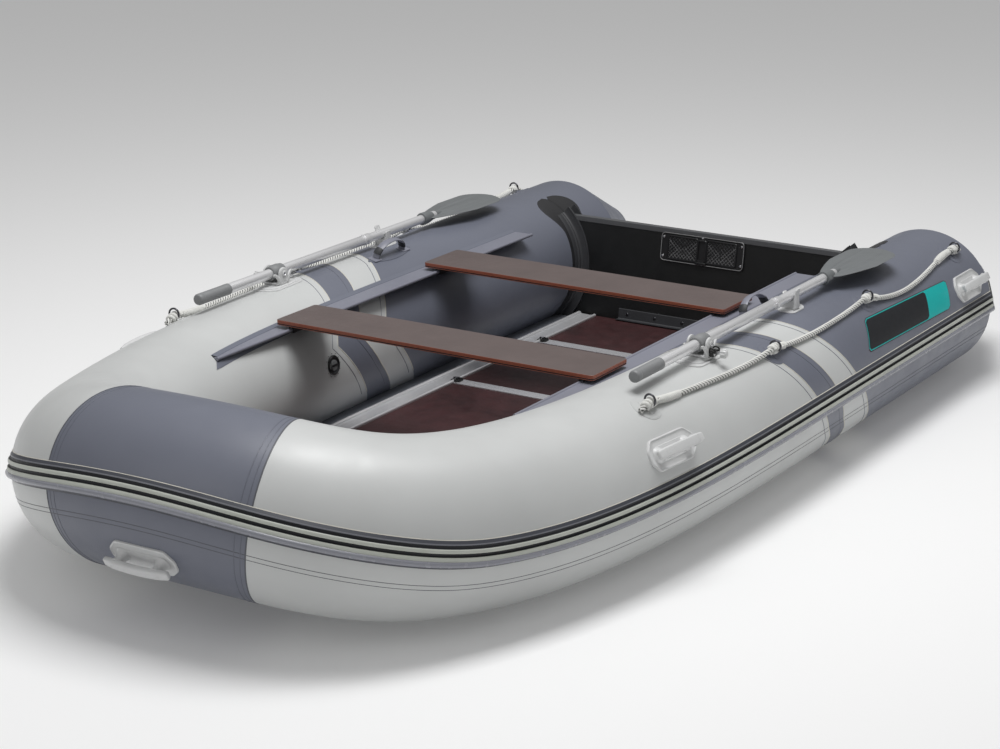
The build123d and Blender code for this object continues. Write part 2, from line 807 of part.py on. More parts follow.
with BuildPart() as oar_clips:
    with BuildSketch(Plane(origin=(clip_x, oar_y, tube_top - pad_sink))):
        SlotOverall(clip_pad_length, clip_pad_width)
    extrude(amount=pad_sink + pad_rim)
    clip_end = (clip_x - clip_length / 2, oar_y, oar_z)
    with BuildSketch(Plane(origin=clip_end, x_dir=(0, 1, 0), z_dir=(1, 0, 0))):
        clip_half = oar_radius + clip_gap + clip_wall
        clip_depth = oar_z - tube_top + pad_sink
        with Locations((0, (clip_rise - clip_depth) / 2)):
            Rectangle(2 * clip_half, clip_depth + clip_rise)
        Circle(oar_radius + clip_gap, mode=Mode.SUBTRACT)
        with Locations((0, clip_half / 2)):
            Rectangle(2 * (oar_radius + clip_gap), clip_half, mode=Mode.SUBTRACT)
    extrude(amount=clip_length)
    add(side_tube, mode=Mode.SUBTRACT)
    mirror(about=Plane.XZ)
save(oar_clips, "oar_clips")


def oar_section(x):
    """Plane across the port oar, with its normal aft."""
    return Plane(origin=(x, oar_y, oar_z), x_dir=(0, 1, 0), z_dir=(-1, 0, 0))


def pin_plane(radius):
    """Plane beside a round piece of the oar, with its normal along the rowlock's pin."""
    return Plane(
        origin=(rowlock_x, oar_y - radius - cutter_play, oar_z), x_dir=(1, 0, 0), z_dir=(0, 1, 0)
    )


with BuildPart() as oar_shaft:
    with BuildSketch(oar_section(oar_grip_x - oar_grip_length)):
        Circle(oar_radius)
    extrude(amount=oar_grip_x - oar_grip_length - blade_start_x)
    with BuildSketch(pin_plane(oar_radius)):
        Circle(pin_radius + pin_play)
    extrude(amount=2 * (oar_radius + cutter_play), mode=Mode.SUBTRACT)
with BuildPart() as oar_grip:
    with BuildSketch(oar_section(oar_grip_x)):
        Circle(oar_grip_radius)
    extrude(amount=oar_grip_length)
    fillet(oar_grip.faces().sort_by(Axis.X)[-1].edges(), radius=oar_grip_round)
with BuildPart() as oar_collar:
    with BuildSketch(oar_section(rowlock_x + collar_length / 2)):
        Circle(collar_radius)
        Circle(oar_radius, mode=Mode.SUBTRACT)
    extrude(amount=collar_length)
    with BuildSketch(pin_plane(collar_radius)):
        Circle(pin_radius + pin_play)
    extrude(amount=2 * (collar_radius + cutter_play), mode=Mode.SUBTRACT)
with BuildPart() as oar_ring:
    with BuildSketch(oar_section(joint_ring_x + joint_ring_length / 2)):
        Circle(joint_ring_radius)
        Circle(oar_radius, mode=Mode.SUBTRACT)
    extrude(amount=joint_ring_length)
with BuildPart() as oar_blade:
    with BuildSketch(Plane(origin=(0, oar_y, oar_z - blade_thickness / 2))):
        with BuildLine():
            half = blade_width / 2
            shoulder_y, corner_y, tip_y = half * 0.85, half * 0.8, half * 0.6
            corner_x = blade_tip_x + blade_corner
            shoulder = blade_start_x - blade_shoulder_run
            widest = blade_tip_x + blade_tip_run
            Spline((blade_start_x, blade_neck), (shoulder, shoulder_y), (widest, half), (corner_x, corner_y))
            Polyline((corner_x, corner_y), (blade_tip_x, tip_y), (blade_tip_x, -tip_y), (corner_x, -corner_y))
            neck = (blade_start_x, -blade_neck)
            Spline((corner_x, -corner_y), (widest, -half), (shoulder, -shoulder_y), neck)
            Line(neck, (blade_start_x, blade_neck))
        make_face()
    extrude(amount=blade_thickness)
oar_pieces = {
    "shaft": oar_shaft,
    "grip": oar_grip,
    "collar": oar_collar,
    "joint_ring": oar_ring,
    "blade": oar_blade,
}
for side in ("port", "starboard"):
    for name, piece in oar_pieces.items():
        with BuildPart() as placed:
            if side == "port":
                add(piece)
            else:
                mirror(piece.part, about=Plane.XZ)
        save(placed, f"{side}_oar_{name}")

# ---------------------------------------------------------------- handles, rings, valves
def moulded_handle(plane):
    """Plate with cut corners, and a grip that overhangs its two posts."""
    end, half = handle_length / 2, handle_width / 2
    with BuildPart() as handle:
        with BuildSketch(plane.offset(-handle_sink)):
            with BuildLine():
                Polyline(
                    (end, half - handle_end),
                    (end - handle_end, half),
                    (handle_end - end, half),
                    (-end, half - handle_end),
                    (-end, handle_end - half),
                    (handle_end - end, -half),
                    (end - handle_end, -half),
                    (end, handle_end - half),
                    close=True,
                )
            make_face()
        extrude(amount=handle_sink + handle_base)
        with BuildSketch(plane.offset(handle_base)):
            with Locations(*[(side * handle_span / 2, 0) for side in (-1, 1)]):
                RectangleRounded(handle_post, handle_bar_width, handle_post / 3)
        extrude(amount=handle_reach - handle_bar / 2)
        with BuildSketch(plane.offset(handle_base + handle_reach - handle_bar / 2)):
            SlotOverall(handle_span + handle_post + 2 * handle_overhang, handle_bar_width)
        extrude(amount=handle_bar)
    return handle.part


with BuildPart() as side_handles:
    for x, angle in (front_handle, aft_handle):
        add(moulded_handle(skin_plane(x, angle)))
    add(side_tube, mode=Mode.SUBTRACT)
    add(strake_port, mode=Mode.SUBTRACT)
    mirror(about=Plane.XZ)
save(side_handles, "side_handles")
nose_radial = Vector(cos(radians(bow_handle_angle)), 0, sin(radians(bow_handle_angle)))
nose_point = Vector(nose_x, 0, nose_z) + nose_radial * tube_radius
nose_skin = Plane(origin=nose_point, x_dir=(0, 1, 0), z_dir=nose_radial)
with BuildPart() as bow_handle:
    add(moulded_handle(nose_skin))
    add(bow_panel, mode=Mode.SUBTRACT)
save(bow_handle, "bow_handle")

with BuildSketch() as ring_patch_outline:
    Circle(ring_patch_radius)
ring_low = skin_thickness + ring_tab
with BuildPart() as rings:
    for x, angle in ring_places:
        place = skin_plane(x, angle, ring_low + ring_radius)
        wire_point = place.origin + place.z_dir * ring_radius
        with BuildSketch(Plane(origin=wire_point, x_dir=place.z_dir, z_dir=place.y_dir)):
            Circle(ring_wire)
        revolve(axis=Axis(place.origin, place.x_dir))
    mirror(about=Plane.XZ)
save(rings, "lifeline_rings")

with BuildPart() as ring_patches:
    add(patch([(skin_plane(x, angle), ring_patch_outline.sketch) for x, angle in ring_places]))
    for x, angle in ring_places:
        place = skin_plane(x, angle, ring_low + ring_radius)
        tab = skin_plane(x, angle)
        with BuildSketch(tab):
            RectangleRounded(ring_tab_length, ring_tab_width, ring_tab_corner)
        extrude(amount=ring_low + ring_wire + ring_tab_cover)
        wire_point = place.origin - place.z_dir * ring_radius
        with BuildSketch(Plane(origin=wire_point, x_dir=place.z_dir, z_dir=place.y_dir)):
            Circle(ring_wire + slot_play)
        revolve(axis=Axis(place.origin, place.x_dir), mode=Mode.SUBTRACT)
    add(side_tube, mode=Mode.SUBTRACT)
    mirror(about=Plane.XZ)
save(ring_patches, "ring_patches")

# Lifelines: a slack rope through the rings of each side, in straight runs joined by arcs
rope_pass = ring_low + ring_radius - rope_hang
rope_points = []
for x, angle, lift in rope_path:
    place = skin_plane(x, angle, rope_pass if lift else rope_lift)
    rope_points.append(Vector(place.origin))
rope_radii = []
for before, here, after in zip(rope_points, rope_points[1:], rope_points[2:]):
    into, out = here - before, after - here
    turn = radians(into.get_angle(out))
    rope_radii.append(rope_ease * min(into.length, out.length) / tan(turn / 2))
for side, across in (("port", 1), ("starboard", -1)):
    path = [(p.X, across * p.Y, p.Z) for p in rope_points]
    with BuildPart() as rope:
        with BuildLine() as rope_line:
            FilletPolyline(*path, radius=rope_radii)
        start = rope_line.line @ 0
        with BuildSketch(Plane(origin=start, z_dir=rope_line.line % 0)):
            Circle(rope_radius)
        sweep()
    save(rope, f"{side}_lifeline")
print("rope radii", [round(r, 1) for r in rope_radii])

with BuildPart() as valves:
    plane = skin_plane(valve_x, valve_angle)
    with BuildSketch(plane.offset(-valve_sink)):
        Circle(valve_radius)
    extrude(amount=valve_sink + valve_rim)
    with BuildSketch(plane.offset(valve_rim)):
        Circle(valve_bore)
    extrude(amount=valve_cap)
    add(side_tube, mode=Mode.SUBTRACT)
    mirror(about=Plane.XZ)
save(valves, "air_valves")

with BuildSketch() as loop_outline:
    SlotOverall(loop_patch_length, loop_patch_width)
with BuildPart() as loop_handles:
    add(patch([(skin_plane(loop_x, loop_angle), loop_outline.sketch)]))
    plane = skin_plane(loop_x, loop_angle)
    arch_point = plane.origin + plane.y_dir * loop_width / 2
    arch = Plane(origin=arch_point, x_dir=plane.x_dir, z_dir=plane.y_dir * -1)
    with BuildSketch(arch):
        with BuildLine():
            outer, inner = loop_span / 2, loop_span / 2 - loop_thickness
            ThreePointArc((-outer, -loop_sink), (0, loop_rise), (outer, -loop_sink))
            Line((outer, -loop_sink), (inner, -loop_sink))
            ThreePointArc((inner, -loop_sink), (0, loop_rise - loop_thickness), (-inner, -loop_sink))
            Line((-inner, -loop_sink), (-outer, -loop_sink))
        make_face()
    extrude(amount=loop_width)
    add(side_tube, mode=Mode.SUBTRACT)
    mirror(about=Plane.XZ)
save(loop_handles, "loop_handles")
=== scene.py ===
"""Looks of the inflatable boat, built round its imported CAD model. Metres, +X bow, +Y port, +Z up."""

from math import asin, atan2, cos, degrees, pi, radians, sin, sqrt, tan

import bmesh
import bpy
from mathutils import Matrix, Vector


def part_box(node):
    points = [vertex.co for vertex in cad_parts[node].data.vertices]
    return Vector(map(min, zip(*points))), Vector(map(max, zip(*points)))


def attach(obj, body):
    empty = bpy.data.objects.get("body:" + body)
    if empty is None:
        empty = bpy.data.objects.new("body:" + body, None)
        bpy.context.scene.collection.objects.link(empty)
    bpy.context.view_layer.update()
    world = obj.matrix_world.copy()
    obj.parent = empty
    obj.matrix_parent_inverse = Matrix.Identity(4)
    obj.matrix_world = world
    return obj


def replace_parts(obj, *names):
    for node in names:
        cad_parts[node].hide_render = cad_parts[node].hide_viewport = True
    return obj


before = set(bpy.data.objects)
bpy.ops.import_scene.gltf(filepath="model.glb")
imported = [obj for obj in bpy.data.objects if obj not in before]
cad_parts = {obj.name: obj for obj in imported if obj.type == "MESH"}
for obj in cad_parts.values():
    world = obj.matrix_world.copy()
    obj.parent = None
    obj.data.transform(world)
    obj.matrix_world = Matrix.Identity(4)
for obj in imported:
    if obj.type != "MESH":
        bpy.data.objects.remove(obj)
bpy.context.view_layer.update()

X, Y, Z = Vector((1, 0, 0)), Vector((0, 1, 0)), Vector((0, 0, 1))

# ---------------------------------------------------------------- driving sizes (metres, degrees)
TUBE_R = 0.238
SIDE_Y = 0.723  # middle plane to the axis of a side tube
CONE_X = -1.500  # where the parallel tube ends
TAIL_X = -1.846
TAIL_R = 0.092
TAIL_FALL = 0.020
TAIL_ROUND = 0.030
BOW_START_X = -0.400
BOW_SEAM = 0.88  # share of the bow curve where the nose panel begins
BOW_POINTS = (
    (-0.400, 0.723, 0.238),
    (0.775, 0.723, 0.238),
    (1.125, 0.723, 0.238),
    (1.393, 0.419, 0.206),
    (1.603, 0.560, 0.342),
    (1.603, 0.0, 0.342),
)
UNDER = -110.0  # the tube's long seam, under the bottom's edge, in degrees round it

# Colour seams: (degrees round the port tube, place along the boat)
DARK_SEAM = ((-110, -0.52), (-29, -0.265), (-18, -0.214), (12, -0.111), (85, 0.110), (122, 0.185), (160, 0.285),
             (186, 0.186), (241, -0.017), (250, -0.050))
LIGHT_SEAM = ((-110, -0.62), (-29, -0.372), (-18, -0.322), (9, -0.252), (49, -0.135), (82, -0.045), (121, 0.045),
              (160, 0.150), (187, 0.057), (204, -0.014), (241, -0.154), (250, -0.185))
AFT_SEAM = ((-110, -0.86), (-29, -0.549), (-18, -0.500), (13, -0.387), (46, -0.288), (71, -0.222), (104, -0.155),
            (160, 0.010), (184, -0.073), (202, -0.144), (241, -0.295), (250, -0.330))

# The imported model's frame lies a little off the sizes above
tail_low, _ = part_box("tail_cones")
SHIFT = Vector((tail_low.x - TAIL_X, 0, tail_low.z))


def mm(*values):
    """Pairs in metres from a row of millimetres."""
    metres = [value / 1000 for value in values]
    return tuple(zip(metres[::2], metres[1::2]))


# ---------------------------------------------------------------- tube curves
def bow_point(u):
    """Point of the port tube's axis at a share of the bow curve."""
    points = [Vector(p) for p in BOW_POINTS]
    while len(points) > 1:
        points = [a.lerp(b, u) for a, b in zip(points, points[1:])]
    return points[0]


def bow_share(x):
    """Share of the bow curve at a place along the boat, by halving."""
    low, high = 0.0, 0.86
    for _ in range(40):
        middle = (low + high) / 2
        low, high = (middle, high) if bow_point(middle).x < x else (low, middle)
    return low


def axis_frame(q):
    """Axis point, along, outward and up at q: metres aft of the bow curve if negative, else its share."""
    if q <= 0:
        return Vector((BOW_START_X + q, SIDE_Y, TUBE_R)), X, Y, Z
    step = 1e-4
    along = (bow_point(min(1, q + step)) - bow_point(q - step)).normalized()
    if q > 0.999:
        along = -Y
    outward = Z.cross(along).normalized()
    return bow_point(q), along, outward, along.cross(outward)


def q_of_x(x):
    """Place on the tube's axis for a place along the boat."""
    return x - BOW_START_X if x <= BOW_START_X else bow_share(x)


def mirrored(p):
    return Vector((p.x, -p.y, p.z))


def skin(q, angle, lift=0.0):
    """Point on the tube's skin; shares over 1 carry on round the nose to starboard."""
    if q > 1:
        return mirrored(skin(2 - q, angle, lift))
    centre, _, outward, up = axis_frame(q)
    turn = radians(angle)
    return centre + (outward * cos(turn) + up * sin(turn)) * (TUBE_R + lift)


class Patch:
    """A frame on the port tube's skin: a along the tube, b round it, c out of it."""

    def __init__(self, x, angle, lift=0.0, q=None):
        self.q = q_of_x(x) if q is None else q
        self.angle, self.lift = angle, lift
        centre, self.a, outward, up = axis_frame(self.q)
        turn = radians(angle)
        self.c = outward * cos(turn) + up * sin(turn)
        self.b = self.c.cross(self.a)
        self.origin = centre + self.c * (TUBE_R + lift)
        self.speed = 1.0 if self.q <= 0 else (bow_point(self.q) - bow_point(self.q - 0.01)).length / 0.01

    def at(self, a, b, c):
        """Point in the flat frame."""
        return self.origin + self.a * a + self.b * b + self.c * c

    def on(self, a, b, c):
        """Point that follows the tube's skin both ways."""
        return skin(self.q + a / self.speed, self.angle + degrees(b / TUBE_R), self.lift + c)


def stepped(table, angle):
    """Value at an angle, in line between the table's pairs."""
    for (low, before), (high, after) in zip(table, table[1:]):
        if angle <= high:
            return before + (after - before) * (angle - low) / (high - low)
    return table[-1][1]


# ---------------------------------------------------------------- materials
def ramp(nodes, links, value, stops):
    """Colour ramp from (place, (r, g, b)) stops."""
    node = nodes.new("ShaderNodeValToRGB")
    elements = node.color_ramp.elements
    while len(elements) < len(stops):
        elements.new(0.5)
    for element, (place, colour) in zip(elements, stops):
        element.position = place
        element.color = (*colour, 1)
    links.new(value, node.inputs["Fac"])
    return node.outputs["Color"]


def grey(value):
    return (value, value, value)


def tinted(colour, factor):
    return tuple(min(1.0, c * factor) for c in colour)


class Look:
    """A material in the making: textures in object coordinates, wired to its shader."""

    def __init__(self, name):
        self.material = bpy.data.materials.new(name)
        self.material.use_nodes = True
        self.nodes, self.links = self.material.node_tree.nodes, self.material.node_tree.links
        self.shader = self.nodes["Principled BSDF"]
        self.coords = self.nodes.new("ShaderNodeTexCoord").outputs["Object"]

    def setting(self, node, **inputs):
        """Sets inputs of a node; an underscore stands for the space in an input's name."""
        for key, value in inputs.items():
            node.inputs[key.replace("_", " ")].default_value = value
        return node

    def stretched(self, scale):
        """Stretches the coordinates of the textures that follow."""
        node = self.setting(self.nodes.new("ShaderNodeMapping"), Scale=scale)
        self.links.new(self.coords, node.inputs["Vector"])
        self.coords = node.outputs["Vector"]

    def noise(self, scale, detail=4.0, rough=0.5):
        node = self.setting(self.nodes.new("ShaderNodeTexNoise"), Scale=scale, Detail=detail, Roughness=rough)
        self.links.new(self.coords, node.inputs["Vector"])
        return node.outputs["Fac"]

    def bands(self, direction, pitch, **inputs):
        """Bands of one pitch in metres."""
        node = self.setting(self.nodes.new("ShaderNodeTexWave"), Scale=pi / (10 * pitch), **inputs)
        node.bands_direction = direction
        self.links.new(self.coords, node.inputs["Vector"])
        return node.outputs["Fac"]

    def maths(self, operation, *values):
        node = self.nodes.new("ShaderNodeMath")
        node.operation = operation
        for socket, value in zip(node.inputs, values):
            if isinstance(value, float):
                socket.default_value = value
            else:
                self.links.new(value, socket)
        return node.outputs[0]

    def weave(self, pitch, other="Y"):
        """Crossed bands, as a height."""
        return self.maths("MULTIPLY", self.bands("X", pitch), self.bands(other, pitch))

    def wire(self, socket, value, *stops):
        self.links.new(ramp(self.nodes, self.links, value, stops), self.shader.inputs[socket])

    def bumped(self, distance, *heights):
        """Chain of bumps from (value, strength) pairs; gives the finished material."""
        normal = None
        for value, strength in heights:
            node = self.setting(self.nodes.new("ShaderNodeBump"), Strength=strength, Distance=distance)
            self.links.new(value, node.inputs["Height"])
            if normal is not None:
                self.links.new(normal, node.inputs["Normal"])
            normal = node.outputs["Normal"]
        self.links.new(normal, self.shader.inputs["Normal"])
        return self.material


def coated_cloth(name, colour, roughness=0.40, variation=0.05):
    """PVC-coated cloth: fine weave under a satin coat, soft wrinkles and handling marks."""
    look = Look(name)
    look.wire("Base Color", look.noise(2.2, 3.0), (0.3, tinted(colour, 1 - variation)),
              (0.7, tinted(colour, 1 + variation)))
    look.wire("Roughness", look.noise(14.0, 6.0, 0.6), (0.35, grey(roughness - 0.05)),
              (0.7, grey(roughness + 0.08)))
    look.setting(look.shader, Specular_IOR_Level=0.5, Coat_Weight=0.12, Coat_Roughness=0.35)
    return look.bumped(0.001, (look.noise(900.0, 2.0), 0.10), (look.weave(0.0012, "Z"), 0.05),
                       (look.noise(9.0, 2.0), 0.05))


def moulded(name, colour, roughness=0.45, grain=700.0, strength=0.12):
    """Moulded plastic or rubber with a fine spark grain."""
    look = Look(name)
    look.wire("Base Color", look.noise(18.0, 5.0), (0.3, tinted(colour, 0.965)), (0.7, tinted(colour, 1.03)))
    look.wire("Roughness", look.noise(40.0, 5.0), (0.3, grey(roughness - 0.02)), (0.7, grey(roughness + 0.05)))
    return look.bumped(0.0004, (look.noise(grain, 2.0), strength))


def metal(name, colour, roughness, stretch=(1, 1, 1), scale=60.0, marks=1.0, metallic=1.0):
    """Drawn or brushed metal, its marks stretched along one direction."""
    look = Look(name)
    look.stretched(stretch)
    lines = look.noise(scale, 6.0, 0.65)
    look.wire("Base Color", lines, (0.3, tinted(colour, 1 - 0.14 * marks)), (0.7, tinted(colour, 1 + 0.08 * marks)))
    look.wire("Roughness", lines, (0.3, grey(roughness - 0.05 * marks)), (0.7, grey(roughness + 0.10 * marks)))
    look.setting(look.shader, Metallic=metallic)
    return look.bumped(0.0005, (lines, 0.06 * marks))


LIGHT_GREY = (0.56, 0.57, 0.565)
SLATE = (0.150, 0.160, 0.200)
FILM_LINE = 0.0016  # pitch of the fine grid pressed into the boards' film
PLY_PITCH = 0.0029  # two plies of the plywood


def film(name, colour, roughness, mottle=0.10, grid=0.10):
    """Phenolic film on plywood: mottled colour, scuffs and a fine pressed grid."""
    look = Look(name)
    low, high = tinted(colour, 1 - mottle), tinted(colour, 1 + mottle)
    look.wire("Base Color", look.noise(7.0, 8.0, 0.65), (0.3, low), (0.52, colour), (0.75, high))
    look.wire("Roughness", look.noise(26.0, 8.0, 0.7), (0.3, grey(roughness - 0.07)), (0.7, grey(roughness + 0.10)))
    return look.bumped(0.0006, (look.weave(FILM_LINE), grid), (look.noise(60.0, 6.0), 0.12))


def plywood_edge(name):
    """Sealed edge of plywood: thin plies of two red-browns with end grain."""
    look = Look(name)
    plies = look.bands("Z", PLY_PITCH, Distortion=0.6, Detail_Scale=3.0)
    height = look.maths("MULTIPLY_ADD", look.noise(240.0, 4.0), 0.45, plies)
    look.wire("Base Color", height, (0.15, (0.085, 0.017, 0.009)), (0.6, (0.25, 0.058, 0.028)),
              (1.0, (0.44, 0.13, 0.07)))
    look.setting(look.shader, Roughness=0.38)
    return look.bumped(0.0008, (height, 0.15))


def rope_fibre(name, colour):
    """Twisted nylon: fine fibres and soft sheen."""
    look = Look(name)
    look.wire("Base Color", look.noise(12.0, 5.0), (0.3, tinted(colour, 0.88)), (0.6, colour))
    look.setting(look.shader, Roughness=0.7, Sheen_Weight=0.25)
    return look.bumped(0.0006, (look.noise(1400.0, 3.0), 0.35))


MAT = {
    "light": coated_cloth("tube_light", LIGHT_GREY),
    "slate": coated_cloth("tube_slate", SLATE, 0.42, 0.06),
    "slate_tape": coated_cloth("seam_tape_slate", tinted(SLATE, 0.86), 0.40),
    "slate_pale": coated_cloth("rail_cloth", (0.21, 0.215, 0.26), 0.40),
    "light_tape": coated_cloth("seam_tape_light", tinted(LIGHT_GREY, 0.97), 0.38),
    # Pale cream: the real cloth edge at the colour seams, and also a painted highlight on the rub strake's top lip
    "seam_pale_and_highlight": moulded("seam_edge_pale", (0.62, 0.60, 0.53), 0.5),
    # Dark grey on the edges of the chine tapes and the nose seam: painted shade along real tape edges
    "seam_shade_line": moulded("seam_line_painted_shade", (0.10, 0.105, 0.12), 0.5),
    "black_cloth": coated_cloth("black_cloth", (0.016, 0.016, 0.018), 0.45),
    "bottom": coated_cloth("bottom_cloth", (0.17, 0.18, 0.21), 0.5),
    "strake_dark": moulded("strake_dark", (0.050, 0.053, 0.066), 0.40),
    "strake_black": moulded("strake_groove", (0.010, 0.011, 0.015), 0.5),
    "strake_light": moulded("strake_light", (0.50, 0.52, 0.47), 0.42),
    "strake_bead": moulded("strake_bead", (0.26, 0.265, 0.30), 0.24, 300.0, 0.03),
    "strake_line": moulded("strake_line", (0.16, 0.165, 0.185), 0.36),
    "black": moulded("black_plastic", (0.013, 0.013, 0.014), 0.34),
    "charcoal": moulded("charcoal_plastic", (0.035, 0.036, 0.040), 0.5),
    # The cap's grey is lighter than its own charcoal plastic: partly a painted highlight along the transom's top
    # edge
    "cap": moulded("transom_cap_plastic", (0.085, 0.087, 0.092), 0.40),
    # Lighter grey for the black motor pad's lattice ridges and rim: painted highlights
    "lattice": moulded("pad_lattice_painted_highlight", (0.26, 0.26, 0.265), 0.28, 700.0, 0.05),
    # Dark strands set in the rope's grooves: painted shade between the white strands
    "rope_shade": moulded("rope_groove_painted_shade", (0.030, 0.030, 0.028), 0.8),
    "grey": moulded("grey_plastic", (0.64, 0.645, 0.645), 0.30, 700.0, 0.06),
    "grip": moulded("grip_rubber", (0.225, 0.23, 0.235), 0.45, 500.0, 0.2),
    "blade": moulded("blade_plastic", (0.165, 0.175, 0.18), 0.34),
    "steel": metal("steel", (0.66, 0.66, 0.68), 0.20),
    "dark_steel": metal("dark_ring_steel", (0.10, 0.10, 0.11), 0.30),
    "alu": metal("oar_aluminium", (0.86, 0.86, 0.87), 0.28, (0.05, 1, 1), 160.0, 0.3, 0.55),
    "profile": metal("floor_profile_aluminium", (0.84, 0.84, 0.86), 0.24, (0.04, 1, 1), 140.0, 0.3, 0.6),
    "cross": metal("cross_profile_aluminium", (0.84, 0.84, 0.87), 0.26, (1, 0.04, 1), 140.0, 0.3, 0.6),
    "seat_film": film("seat_film", (0.120, 0.092, 0.087), 0.40),
    "floor_film": film("floor_film", (0.040, 0.012, 0.013), 0.50, 0.5, 0.22),
    "transom_film": film("transom_film", (0.0065, 0.0068, 0.0070), 0.40, 0.2),
    "ply": plywood_edge("plywood_edge"),
    "rope": rope_fibre("rope_fibre", (0.74, 0.74, 0.71)),
    "teal": moulded("sticker_teal", (0.0, 0.44, 0.42), 0.3),
    "sticker": moulded("sticker_field", (0.010, 0.011, 0.014), 0.38),
    "sticker_line": moulded("sticker_outline", (0.06, 0.008, 0.014), 0.3),
}


# ---------------------------------------------------------------- mesh helpers
def piece(name, verts, faces, materials, indices=None, body="hull", both=False, smooth=True, weld=False,
          facing=False):
    """A mesh piece in the sizes' own frame; both adds its mirror on the starboard side."""
    points = [Vector(v) for v in verts]
    polygons = [tuple(f) for f in faces]
    marks = list(indices) if indices is not None else [0] * len(polygons)
    if both:
        count = len(points)
        points += [mirrored(p) for p in points]
        polygons += [tuple(count + i for i in reversed(f)) for f in polygons]
        marks += marks
    mesh = bpy.data.meshes.new(name)
    mesh.from_pydata([p + SHIFT for p in points], [], polygons)
    for material in materials:
        mesh.materials.append(material)
    for polygon, mark in zip(mesh.polygons, marks):
        polygon.material_index = mark
        polygon.use_smooth = smooth
    mesh.update()
    if weld or facing:
        shape = bmesh.new()
        shape.from_mesh(mesh)
        if weld:
            bmesh.ops.remove_doubles(shape, verts=shape.verts, dist=1e-5)
        bmesh.ops.recalc_face_normals(shape, faces=shape.faces)
        shape.to_mesh(mesh)
        shape.free()
    obj = bpy.data.objects.new(name, mesh)
    bpy.context.scene.collection.objects.link(obj)
    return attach(obj, body)


def grid_faces(rows, columns, wrap=False, start=0):
    """Quads of a grid of points, row by row; wrap closes each row."""
    faces = []
    for i in range(rows - 1):
        for j in range(columns if wrap else columns - 1):
            k = (j + 1) % columns
            faces.append((start + i * columns + j, start + i * columns + k, start + (i + 1) * columns + k,
                          start + (i + 1) * columns + j))
    return faces


def crease(obj, angle=35):
    """Sharp edges over an angle, smooth elsewhere."""
    obj.data.shade_smooth()
    obj.data.set_sharp_from_angle(angle=radians(angle))
    return obj


class Shape:
    """Points and faces of one piece, gathered from several forms."""

    def __init__(self):
        self.points, self.faces, self.marks = [], [], []

    def loops(self, loops, mark=0, closed=True, caps=(True, True)):
        """Skin between loops of one count; mark is one material or one for each step between loops."""
        start, count = len(self.points), len(loops[0])
        steps = [mark] * (len(loops) - 1) if isinstance(mark, int) else list(mark)
        for loop in loops:
            self.points += loop
        for i, step in enumerate(steps):
            low, high = start + i * count, start + (i + 1) * count
            for j in range(count if closed else count - 1):
                k = (j + 1) % count
                self.faces.append((low + j, low + k, high + k, high + j))
                self.marks.append(step)
        if caps[0]:
            self.faces.append(tuple(reversed(range(start, start + count))))
            self.marks.append(steps[0])
        if caps[1]:
            last = start + (len(loops) - 1) * count
            self.faces.append(tuple(range(last, last + count)))
            self.marks.append(steps[-1])
        return self

    def stacked(self, put, outline, levels, mark=0):
        """An outline's insets, one above another: levels are (inset, height) pairs."""
        return self.loops([[put(a, b, c) for a, b in outline(inset)] for inset, c in levels], mark)

    def raised(self, put, outline, levels, mark=0, inner=3):
        """A form on a surface: outline(inset) gives (a, b) pairs, levels are (inset, height) pairs."""
        loops = [[put(a, b, c) for a, b in outline(inset)] for inset, c in levels]
        edge, top = outline(levels[-1][0]), levels[-1][1]
        for i in range(1, inner + 1):
            scale = max(0.02, 1 - i / inner)
            loops.append([put(a * scale, b * scale, top) for a, b in edge])
        marks = mark if isinstance(mark, int) else list(mark) + [mark[-1]] * inner
        return self.loops(loops, marks)

    def swept(self, path, section, side, mark=0, scales=None, caps=(True, True)):
        """A section of (u, v) pairs carried along points, u as near to side as it can be."""
        loops = []
        for i, point in enumerate(path):
            along = (path[min(i + 1, len(path) - 1)] - path[max(i - 1, 0)]).normalized()
            across = (side - along * side.dot(along)).normalized()
            rise = along.cross(across)
            scale = scales[i] if scales else 1.0
            loops.append([point + across * u * scale + rise * v * scale for u, v in section])
        return self.loops(loops, mark, caps=caps)

    def turned(self, origin, axis, side, profile, count=24, mark=0):
        """A profile of (along, radius) pairs turned about an axis."""
        side = (side - axis * side.dot(axis)).normalized()
        other = axis.cross(side)
        loops = []
        for along, radius in profile:
            loops.append([origin + axis * along + (side * cos(2 * pi * j / count)
                                                   + other * sin(2 * pi * j / count)) * radius
                          for j in range(count)])
        return self.loops(loops, mark)

    def block(self, put, low, high, edge=0.001, mark=0):
        """A block between two corners, in any frame, with its edges taken off."""
        (a0, b0, c0), (a1, b1, c1) = low, high
        corners = ((a0, b0), (a1, b0), (a1, b1), (a0, b1))
        outline = outline_of(corners, edge * 1.5, 3)
        levels = ((edge, c0), (edge * 0.3, c0 + edge * 0.3), (0, c0 + edge), (0, c1 - edge),
                  (edge * 0.3, c1 - edge * 0.3), (edge, c1))
        return self.stacked(put, outline, levels, mark)

    def made(self, name, materials, sharp=40, **options):
        obj = piece(name, self.points, self.faces, materials, self.marks, facing=True, **options)
        return crease(obj, sharp)


def outline_of(corners, radius, count=5):
    """A convex outline, its corners rounded; the result gives its points at any inset."""
    corners = [Vector(c) for c in corners]

    def points(inset=0.0):
        result = []
        for i, corner in enumerate(corners):
            into = (corner - corners[i - 1]).normalized()
            out = (corners[(i + 1) % len(corners)] - corner).normalized()
            first, second = Vector((-into.y, into.x)), Vector((-out.y, out.x))
            reach = max(radius, inset + 0.0004)
            centre = corner + (first + second) * reach / (1 + first.dot(second))
            begin = atan2(-first.y, -first.x)
            sweep = (atan2(-second.y, -second.x) - begin) % (2 * pi)
            for k in range(count + 1):
                turn = begin + sweep * k / count
                result.append((centre.x + (reach - inset) * cos(turn), centre.y + (reach - inset) * sin(turn)))
        return result

    return points


